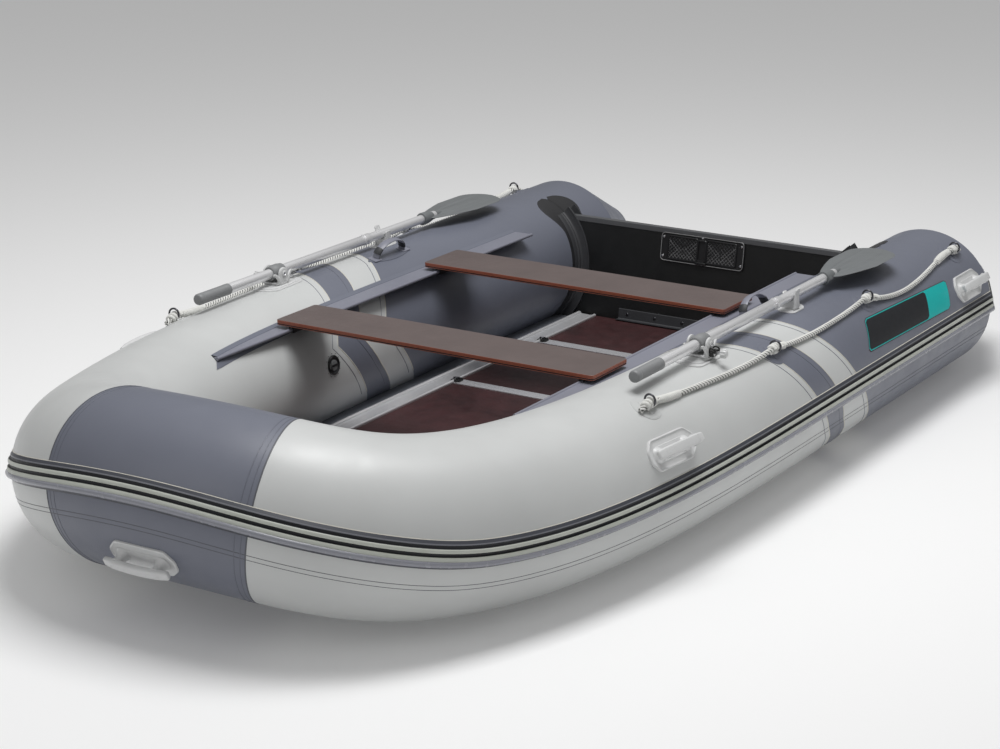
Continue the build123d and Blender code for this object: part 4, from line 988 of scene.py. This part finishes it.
# ---------------------------------------------------------------- transom
RAKE = radians(8.0)
TRANSOM_X, TRANSOM_TOP, TRANSOM_T = -1.236, 0.424, 0.036
CAP_HALF, FOOT_HALF, FOOT_SCREWS, DRAIN_Y, DRAIN_DROP = 0.572, 0.310, 6, 0.250, 0.285
TRANSOM_FACES = ((0.0, 1), (-TRANSOM_T, -1))  # (metres ahead of the front face, way it looks)
lean_out, lean_up = Vector((cos(RAKE), 0, sin(RAKE))), Vector((-sin(RAKE), 0, cos(RAKE)))
on_transom = straight(Vector((TRANSOM_X, 0, TRANSOM_TOP)), Y, lean_up, lean_out)
on_transom_aft = straight(Vector((TRANSOM_X, 0, TRANSOM_TOP)) - lean_out * TRANSOM_T, -Y, lean_up, -lean_out)
# Its lighter grey material is partly a painted highlight along the transom's top edge
cap = Shape()
cap_profile = mm(0, -16, 2.2, -15, 2.4, 0.8, 0.8, 2.4, -36.8, 2.4, -38.4, 0.8, -38.2, -15, -36, -16, -35.8, -0.2,
                 -0.2, -0.2)
cap.loops([[on_transom(y, b, c) for c, b in cap_profile] for y in (-CAP_HALF, CAP_HALF)])
cap.made("transom_top_cap", [MAT["cap"]], 30)


def transom_face_x(z, ahead):
    return TRANSOM_X + ahead / cos(RAKE) - (z - TRANSOM_TOP) * tan(RAKE)


HOLDER_PROFILE = mm(0, 40, 1.6, 40.2, 5, 39, 5.4, 37.6, 4, 36.2, 3.8, 17, 5, 12, 8.2, 9, 11.2, 8.6, 13.4, 10, 16,
                    10, 17.8, 8, 19, 5, 30, 4, 35.6, 2, 36, -2, 0, -2)
holders = Shape()
first_turn = 180 - degrees(asin((TRANSOM_TOP - TUBE_R) / TUBE_R)) + 0.5
last_turn = 180 + degrees(asin((TUBE_R - 0.066) / TUBE_R))
for ahead, way in TRANSOM_FACES:
    rows = []
    for turn in arc(first_turn, last_turn, 44):
        t = radians(turn)
        row = []
        for forward, lift in HOLDER_PROFILE:
            y, z = SIDE_Y + (TUBE_R + lift) * cos(t), TUBE_R + (TUBE_R + lift) * sin(t)
            row.append(Vector((transom_face_x(z, ahead + way * forward), y, z)))
        rows.append(row)
    holders.loops(rows)
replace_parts(holders.made("transom_holder_moulding", [MAT["charcoal"]], 35, both=True), "transom_holders")

leaves = Shape()
LEAF_FIRST, LEAF_WIDEST, LEAF_LAST, LEAF_TAPER = 105.0, 122.0, 236.0, 26.0  # degrees round the tube
LEAF_REACH, LEAF_STEM = 0.088, 0.052
for ahead, way in TRANSOM_FACES:
    rows = []
    for turn in arc(LEAF_FIRST, LEAF_LAST, 90):
        if turn < LEAF_WIDEST:
            reach = LEAF_REACH * sqrt(max(0.0, 1 - ((LEAF_WIDEST - turn) / (LEAF_WIDEST - LEAF_FIRST)) ** 2))
        else:
            reach = LEAF_STEM + (LEAF_REACH - LEAF_STEM) * (1 - eased((turn - LEAF_WIDEST) / LEAF_TAPER))
        t = radians(turn)
        base = transom_face_x(min(TUBE_R * (1 + sin(t)), TRANSOM_TOP), ahead)
        start = -0.020 * min(1.0, (reach / 0.060) ** 2)
        row = []
        for forward, lift in ((start, 0.0012), (reach * 0.5, 0.0012), (max(reach - 0.002, start), 0.0012),
                              (max(reach, start), 0.0004), (max(reach, start), -0.002), (start, -0.002)):
            row.append(Vector((base + way * forward, SIDE_Y + (TUBE_R + lift) * cos(t),
                               TUBE_R + (TUBE_R + lift) * sin(t))))
        rows.append(row)
    leaves.loops(rows)
leaves.made("transom_leaf_patch", [MAT["black_cloth"]], 40, both=True)


def screw(shape, put, a, b, c, radius=0.0050, mark=0):
    """Pan head with a round recess."""
    axis = (put(0, 0, 1) - put(0, 0, 0)).normalized()
    side = (put(1, 0, 0) - put(0, 0, 0)).normalized()
    shape.turned(put(a, b, c), axis, side, ((-0.0005, radius), (0.0008, radius), (0.0020, radius * 0.86),
                                            (0.0028, radius * 0.55), (0.0030, radius * 0.30),
                                            (0.0016, radius * 0.22), (0.0014, 0.0002)), 20, mark)


def clipped(point, way, half_a, half_b):
    """Ends of a line inside a rectangle about the origin, or nothing."""
    low, high = -9.0, 9.0
    for p, d, half in ((point[0], way[0], half_a), (point[1], way[1], half_b)):
        first, second = (-half - p) / d, (half - p) / d
        low, high = max(low, min(first, second)), min(high, max(first, second))
    return (low, high) if high - low > 0.004 else None


plate = Shape()
PLATE_LONG, PLATE_HIGH, OUTER_HIGH, PLATE_ROUND = 0.326, 0.104, 0.190, 0.016
PLATE_MIDDLE, OUTER_MIDDLE = -0.062, -0.105  # from the transom's top, along it
PAD_A, PAD_LONG, PAD_HIGH, LATTICE_STEP, LATTICE_TOP = 0.075795, 0.118, 0.084, 0.0138, 0.0066
frame_outline = box_outline(PLATE_LONG, PLATE_HIGH, PLATE_ROUND, 6)
plate_put = lambda a, b, c: on_transom(a, b + PLATE_MIDDLE, c)
plate.raised(plate_put, frame_outline, mm(0, 0, 0, 4.8, 1.6, 6.6, 4.4, 6.6, 6, 4.6), inner=2)
# The rim is drawn in the lighter lattice grey: a painted highlight round the plate's edge
rim = [plate_put(a, b, LATTICE_TOP) for a, b in frame_outline(0.003)]
plate.swept(rim + rim[:1], circle(0.0013, 7), lean_out, 3, caps=(False, False))
for side in (-1, 1):
    pad_put = lambda a, b, c, side=side: plate_put(a + side * PAD_A, b, c)
    plate.raised(pad_put, box_outline(PAD_LONG, PAD_HIGH, 0.008, 5), mm(0, 4, 0, 7.8, 1.2, 9, 3, 9, 4, 6.6), 1,
                 inner=2)
    # The lattice ridges are lighter grey than the black pad: painted highlights on the ridges
    for way in ((1, 1), (1, -1)):
        for k in range(-10, 11):
            ends = clipped((k * LATTICE_STEP, 0), way, PAD_LONG / 2 - 0.0055, PAD_HIGH / 2 - 0.0055)
            if ends:
                line = [pad_put(k * LATTICE_STEP + way[0] * d, way[1] * d, LATTICE_TOP) for d in ends]
                plate.swept(line, mm(-1.2, 0, 1.2, 0, 0, 2.2), (line[1] - line[0]).cross(lean_out).normalized(), 3)
plate.raised(plate_put, box_outline(0.036, 0.078, 0.008, 5), mm(0, 4, 0, 10.5, 1.5, 12, 5, 12, 6.2, 7), inner=2)
plate.block(plate_put, (-0.021, -0.048, 0.004), (0.021, -0.038, 0.0150), 0.0022)
for a, b in mm(-152, 34, -152, -34, 152, 34, 152, -34, 0, 45):
    screw(plate, plate_put, a, b, 0.0048, 0.0052, 2)
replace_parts(plate.made("motor_pad_inner_moulding", [MAT["black"], MAT["black"], MAT["steel"], MAT["lattice"]], 30),
            "motor_plate_inner")

outer_plate = Shape()
outer_put = lambda a, b, c: on_transom_aft(a, b + OUTER_MIDDLE, c)
outer_plate.raised(outer_put, box_outline(PLATE_LONG, OUTER_HIGH, PLATE_ROUND, 6),
                   mm(0, 0, 0, 3.4, 1.4, 5, 6, 5, 7.5, 3.6), inner=2)
for k in range(7):
    a = -0.126 + 0.042 * k
    outer_plate.block(outer_put, (a - 0.0030, -0.078, 0.003), (a + 0.0030, 0.078, 0.0052), 0.0010)
for a in (-0.147, 0.147):
    for b in (-0.080, 0.080):
        screw(outer_plate, outer_put, a, b, 0.0036, 0.0055, 1)
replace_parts(outer_plate.made("motor_pad_outer_moulding", [MAT["black"], MAT["steel"]], 30), "motor_plate_outer")

FOOT_B = -(TRANSOM_TOP - 0.0803) / cos(RAKE)
foot = Shape()
foot_profile = mm(0, 0, 24, 0.5, 24, 3, 6, 3.4, 3.6, 6, 3.2, 38.5, 2, 40, 0, 40)
foot.loops([[on_transom(y, FOOT_B + b, c) for c, b in foot_profile] for y in (-FOOT_HALF, FOOT_HALF)])
for k in range(FOOT_SCREWS):
    screw(foot, lambda a, b, c: on_transom(a, FOOT_B + b, c), -0.275 + 0.110 * k, 0.022, 0.0032, 0.0060, 1)
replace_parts(foot.made("transom_foot_angle", [MAT["charcoal"], MAT["dark_steel"]], 30), "transom_foot_strip")

drains = Shape()
for put in (on_transom, on_transom_aft):
    side = -1 if put is on_transom else 1
    spot = put(side * -DRAIN_Y, -DRAIN_DROP, 0)
    axis = (put(0, 0, 1) - put(0, 0, 0)).normalized()
    drains.turned(spot, axis, Y, mm(-1, 24, 3, 24, 4.4, 22.5, 4.4, 19, 1.6, 18, 1.6, 15, 8, 14, 9.2, 12, 9.2, 0.2),
                  36)
drains.made("drain_plug_moulding", [MAT["black"]], 30)

# ---------------------------------------------------------------- seats and their rails
SEAT_TOP, SEAT_T, SEAT_DEPTH, SEAT_LENGTH = 0.453, 0.016, 0.202, 1.102
SEAT_FRONTS = (("front", 0.514), ("rear", -0.296))
for name, front_x in SEAT_FRONTS:
    seat = Shape()
    put = straight(Vector((front_x - SEAT_DEPTH / 2, 0, SEAT_TOP - SEAT_T)), X, Y, Z)
    outline = box_outline(SEAT_DEPTH, SEAT_LENGTH, 0.011, 7)
    levels = mm(1.4, 0, 0.4, 0.3, 0, 1, 0, 2.4, 0.9, 2.8, 0.9, 5, 0, 5.4, 0, 14.6, 0.5, 15.5, 1.4, 16)
    marks = (0, 0, 1, 2, 2, 2, 1, 1, 0)
    seat.stacked(put, outline, levels, marks)
    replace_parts(seat.made(f"{name}_seat_board_wood", [MAT["seat_film"], MAT["ply"], MAT["strake_black"]], 25,
                          body=f"{name}_seat"), f"seat_{name}_board")

RAIL_Y, RAIL_Z, RAIL_FRONT, RAIL_AFT, RAIL_BEAD_R = 0.505, 0.424, 0.860, -0.906, 0.0055
rail_fin, rail_band = Shape(), Shape()
fin_rows, band_rows = [], []


def on_tube_at(x, turn, lift):
    """Skin point a number of degrees round the tube, at a place along the boat."""
    q = q_of_x(x)
    for _ in range(6):
        p = skin(q, turn, lift)
        q = moved(q, x - p.x)
    return p


def rail_root(x):
    """Degrees round the tube where its skin is as high as the rail."""
    low, high = 100.0, 160.0
    for _ in range(20):
        middle = (low + high) / 2
        low, high = (middle, high) if on_tube_at(x, middle, 0).z > RAIL_Z else (low, middle)
    return low


for x in arc(RAIL_FRONT, RAIL_AFT, 60):
    root = rail_root(x)
    root_y = on_tube_at(x, root, 0).y
    ring = [(RAIL_Y + RAIL_BEAD_R * cos(t), RAIL_Z + RAIL_BEAD_R * sin(t)) for t in arc(-0.35, -2 * pi + 0.35, 16)]
    under = [(root_y + 0.003, RAIL_Z - 0.0019), (root_y + 0.003, RAIL_Z + 0.0019)]
    fin_rows.append([Vector((x, y, z)) for y, z in ring + list(reversed(under))])
    band = []
    for off, lift in ((-3.4, -0.001), (-3.4, 0.0011), (-3.0, 0.0016), (-0.8, 0.0020), (-0.3, 0.0036), (0.3, 0.0036),
                      (1.0, 0.0020), (8.0, 0.0016), (8.4, 0.0011), (8.4, -0.001)):
        ahead = 0.020 * (1 - abs(off + 0.5) / 8.9) if x > RAIL_FRONT - 0.001 else 0.0
        band.append(on_tube_at(x + 0.030 - 2.2 * ahead if ahead else x, root + off, lift))
    band_rows.append(band)
rail_fin.loops(fin_rows)
rail_band.loops(band_rows)
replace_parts(rail_fin.made("seat_rail_fin", [MAT["slate_pale"]], 35, both=True), "seat_rails")
rail_band.made("seat_rail_glued_band", [MAT["slate"]], 35, both=True)

# ---------------------------------------------------------------- blank sticker
# Corners (along the boat, degrees round the tube): front low, front high, aft high, aft low
STICKER = ((-0.505, 21.0), (-0.577, 45.0), (-1.206, 40.0), (-1.156, 18.0))


def on_sticker(s, t, lift):
    """Point of the sticker: s from its front to its aft end, t from low to high."""
    low = [STICKER[0][k] * (1 - s) + STICKER[3][k] * s for k in (0, 1)]
    high = [STICKER[1][k] * (1 - s) + STICKER[2][k] * s for k in (0, 1)]
    return skin(q_of_x(low[0] * (1 - t) + high[0] * t), low[1] * (1 - t) + high[1] * t, lift)


STICKER_LONG, STICKER_WIDE = 0.640, 0.096
sticker = Shape()


def filled(first, last, edge, lift, mark):
    """A field of the sticker between two shares of its length, some metres inside its outline."""
    columns, rows, corner = 60, 12, 0.012
    inset_s, inset_t = edge / STICKER_LONG, edge / STICKER_WIDE
    points = []
    for j in range(rows + 1):
        t = inset_t + (1 - 2 * inset_t) * j / rows
        round_off = corner / STICKER_LONG * max(0.0, abs(2 * j / rows - 1) - 0.80) ** 2 / 0.04
        for i in range(columns + 1):
            s = first + inset_s + round_off + (last - first - 2 * inset_s - 2 * round_off) * i / columns
            points.append(on_sticker(s, t, lift))
    start = len(sticker.points)
    sticker.points += points
    quads = grid_faces(rows + 1, columns + 1, start=start)
    sticker.faces += quads
    sticker.marks += [mark] * len(quads)


filled(0.0, 1.0, 0.0, 0.0005, 2)
filled(0.0, 1.0, 0.0022, 0.0008, 0)
filled(0.0, 0.735, 0.0055, 0.0011, 1)
sticker.made("side_sticker_blank", [MAT["teal"], MAT["sticker"], MAT["sticker_line"]], 60, both=True)

# ---------------------------------------------------------------- lifelines
ROPE_LIFT, ROPE_PASS = 0.008, RING_LOW + RING_RADIUS - 0.002
# (place along the boat, degrees round the tube, whether it goes through a ring)
ROPE_ROUTE = ((0.700, 60.0, 0), (0.657, 62.0, 1), (0.580, 60.8, 0), (0.424, 59.2, 0), (0.260, 57.0, 0),
              (0.110, 56.5, 0), (-0.004, 57.0, 1), (-0.110, 55.0, 0), (-0.260, 53.5, 0), (-0.410, 54.0, 0),
              (-0.560, 55.5, 0), (-0.661, 57.0, 1), (-0.751, 51.0, 0), (-0.894, 47.5, 0), (-1.040, 49.5, 0),
              (-1.180, 53.5, 0), (-1.290, 57.5, 0), (-1.379, 57.0, 1), (-1.425, 55.0, 0))
STRANDS, STRAND_R, STRAND_OUT, LAY = 3, 0.0039, 0.0045, 0.042
WHIP_R, WHIP_OUT, WHIP_PITCH = 0.0046, 0.0066, 0.0175  # the two wires wound round the rope beside a knot
WHOLE = 99.0  # past the end of any line


def spline_points(controls):
    """Points along the NURBS line of a route, in the sizes' frame."""
    curve = bpy.data.curves.new("route", "CURVE")
    curve.dimensions = "3D"
    curve.resolution_u = 28
    spline = curve.splines.new("NURBS")
    spline.points.add(len(controls) - 1)
    for point, place in zip(spline.points, controls):
        point.co = (*place, 1)
    spline.order_u = 3
    spline.use_endpoint_u = True
    obj = bpy.data.objects.new("route", curve)
    bpy.context.scene.collection.objects.link(obj)
    mesh = bpy.data.meshes.new_from_object(obj.evaluated_get(bpy.context.evaluated_depsgraph_get()))
    points = [v.co.copy() for v in mesh.vertices]
    bpy.data.objects.remove(obj)
    bpy.data.curves.remove(curve)
    bpy.data.meshes.remove(mesh)
    return points


def evenly(points, step):
    """Points at even steps along a line, with their distance from its start."""
    marks = [0.0]
    for before, after in zip(points, points[1:]):
        marks.append(marks[-1] + (after - before).length)
    count = max(2, round(marks[-1] / step))
    result, k = [], 0
    for i in range(count + 1):
        s = marks[-1] * i / count
        while k < len(marks) - 2 and marks[k + 1] < s:
            k += 1
        result.append((points[k].lerp(points[k + 1], (s - marks[k]) / max(1e-9, marks[k + 1] - marks[k])), s))
    return result


def wound(shape, line, first, last, radius, wire, pitch, turn0=0.0, sides=8, mark=0, swell=0.0):
    """A wire wound round a line of (point, distance) pairs between two distances."""
    run = [(p, s) for p, s in line if first <= s <= last]
    path = []
    for i, (p, s) in enumerate(run):
        along = (run[min(i + 1, len(run) - 1)][0] - run[max(i - 1, 0)][0]).normalized()
        across = (Z - along * Z.dot(along)).normalized()
        rise = along.cross(across)
        turn = turn0 + 2 * pi * s / pitch
        share = (s - first) / (last - first)
        out = radius * (1 + swell * sin(pi * share))
        path.append(p + across * out * cos(turn) + rise * out * sin(turn))
    shape.swept(path, circle(wire, sides), Z, mark)


for side, across in (("port", 1), ("starboard", -1)):
    controls = []
    for x, angle, ringed in ROPE_ROUTE:
        p = skin(q_of_x(x), angle, ROPE_PASS if ringed else ROPE_LIFT)
        controls.append(Vector((p.x, across * p.y, p.z)))
    line_points = spline_points(controls)
    line = evenly(line_points, 0.0030)
    rope = Shape()
    for k in range(STRANDS):
        wound(rope, line, 0.0, WHOLE, STRAND_OUT, STRAND_R, across * LAY, 2 * pi * k / STRANDS, 7)
        # Thin dark strands in the lay's grooves: painted shade between the white strands
        wound(rope, line, 0.0, WHOLE, 0.0050, 0.0021, across * LAY, 2 * pi * (k + 0.5) / STRANDS, 5, 1)
    rope_obj = rope.made(f"{side}_lifeline_rope", [MAT["rope"], MAT["rope_shade"]], 60)
    fine = evenly(line_points, 0.0012)
    total = fine[-1][1]
    knots = Shape()
    for (_, _, ringed), control in zip(ROPE_ROUTE, controls):
        if ringed:
            at = min(fine, key=lambda entry: (entry[0] - control).length)[1]
            wound(knots, fine, at - 0.026, min(total, at + 0.024), 0.0088, 0.0058, 0.0128, 0.4, 10, 0, 0.25)
            if at > total - 0.10:  # the last ring
                first, last, swell = at - 0.150, at - 0.040, 0.30
            else:
                first, last, swell = at + 0.034, at + (0.150 if at < 0.2 else 0.062), 0.10
            for turn in (0.0, pi):
                wound(knots, fine, first, last, WHIP_OUT, WHIP_R, WHIP_PITCH, turn, 9, 0, swell)
    knots_obj = knots.made(f"{side}_lifeline_knots", [MAT["rope"]], 60)
    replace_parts(rope_obj, f"{side}_lifeline")

# ---------------------------------------------------------------- finishes of the CAD pieces that show
FINISHES = {"floor_board_bow": "floor_film", "floor_board_front": "floor_film", "floor_board_middle": "floor_film",
            "floor_board_aft": "floor_film", "cross_profiles": "cross", "transom": "transom_film",
            "bottom_fabric": "bottom", "keel_strip": "slate_tape", "keel_tube": "bottom",
            "seat_front_channels": "black", "seat_rear_channels": "black"}
for node, key in FINISHES.items():
    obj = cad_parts[node]
    if not obj.material_slots:
        obj.data.materials.append(None)
    for material_slot in obj.material_slots:
        material_slot.material = MAT[key]

# ---------------------------------------------------------------- stage, light and camera
CAMERA_LENS, CAMERA_AT, CAMERA_TURN = 88.48, (6.2280, 3.7843, 2.4779), (72.884, 0.02, 121.765)
LIGHT_TARGET = (0, 0, 0.3)
KEY_LIGHT = ("key", (0.2, 0.6, 5.5), (3.6, 2.2), 235)  # name, place, size, watts
FILL_LIGHT = ("fill", (6.0, -2.0, 3.0), (3.0, 2.0), 22)
SKY = ((0.0, grey(0.30)), (0.25, grey(0.34)), (0.55, grey(0.62)), (0.95, grey(1.0)))  # from the ground up
SKY_STRENGTH, FLOOR_SIZE = 0.50, 60


def stage():
    bpy.ops.mesh.primitive_plane_add(size=FLOOR_SIZE, location=(0, 0, 0))
    floor = bpy.context.object
    floor.name = "studio_floor"
    look = Look("studio_floor")
    look.setting(look.shader, Base_Color=(0.80, 0.80, 0.80, 1), Roughness=0.9, Emission_Color=(1, 1, 1, 1),
                 Emission_Strength=0.10)
    floor.data.materials.append(look.material)
    world = bpy.data.worlds.new("studio")
    world.use_nodes = True
    nodes, links = world.node_tree.nodes, world.node_tree.links
    split = nodes.new("ShaderNodeSeparateXYZ")
    links.new(nodes.new("ShaderNodeTexCoord").outputs["Generated"], split.inputs[0])
    links.new(ramp(nodes, links, split.outputs["Z"], SKY), nodes["Background"].inputs["Color"])
    nodes["Background"].inputs["Strength"].default_value = SKY_STRENGTH
    bpy.context.scene.world = world


def area_light(name, place, size, power):
    light = bpy.data.lights.new(name, "AREA")
    light.shape = "RECTANGLE"
    light.size, light.size_y = size
    light.energy = power
    obj = bpy.data.objects.new(name, light)
    obj.location = place
    obj.rotation_euler = (Vector(LIGHT_TARGET) - Vector(place)).to_track_quat("-Z", "Y").to_euler()
    bpy.context.scene.collection.objects.link(obj)


def camera():
    data = bpy.data.cameras.new("camera")
    data.sensor_width = 36.0
    data.lens = CAMERA_LENS
    obj = bpy.data.objects.new("camera", data)
    obj.location = Vector(CAMERA_AT) + SHIFT
    obj.rotation_euler = [radians(turn) for turn in CAMERA_TURN]
    bpy.context.scene.collection.objects.link(obj)
    bpy.context.scene.camera = obj


stage()
area_light(*KEY_LIGHT)
area_light(*FILL_LIGHT)
camera()
bpy.context.scene.view_settings.view_transform = "Standard"
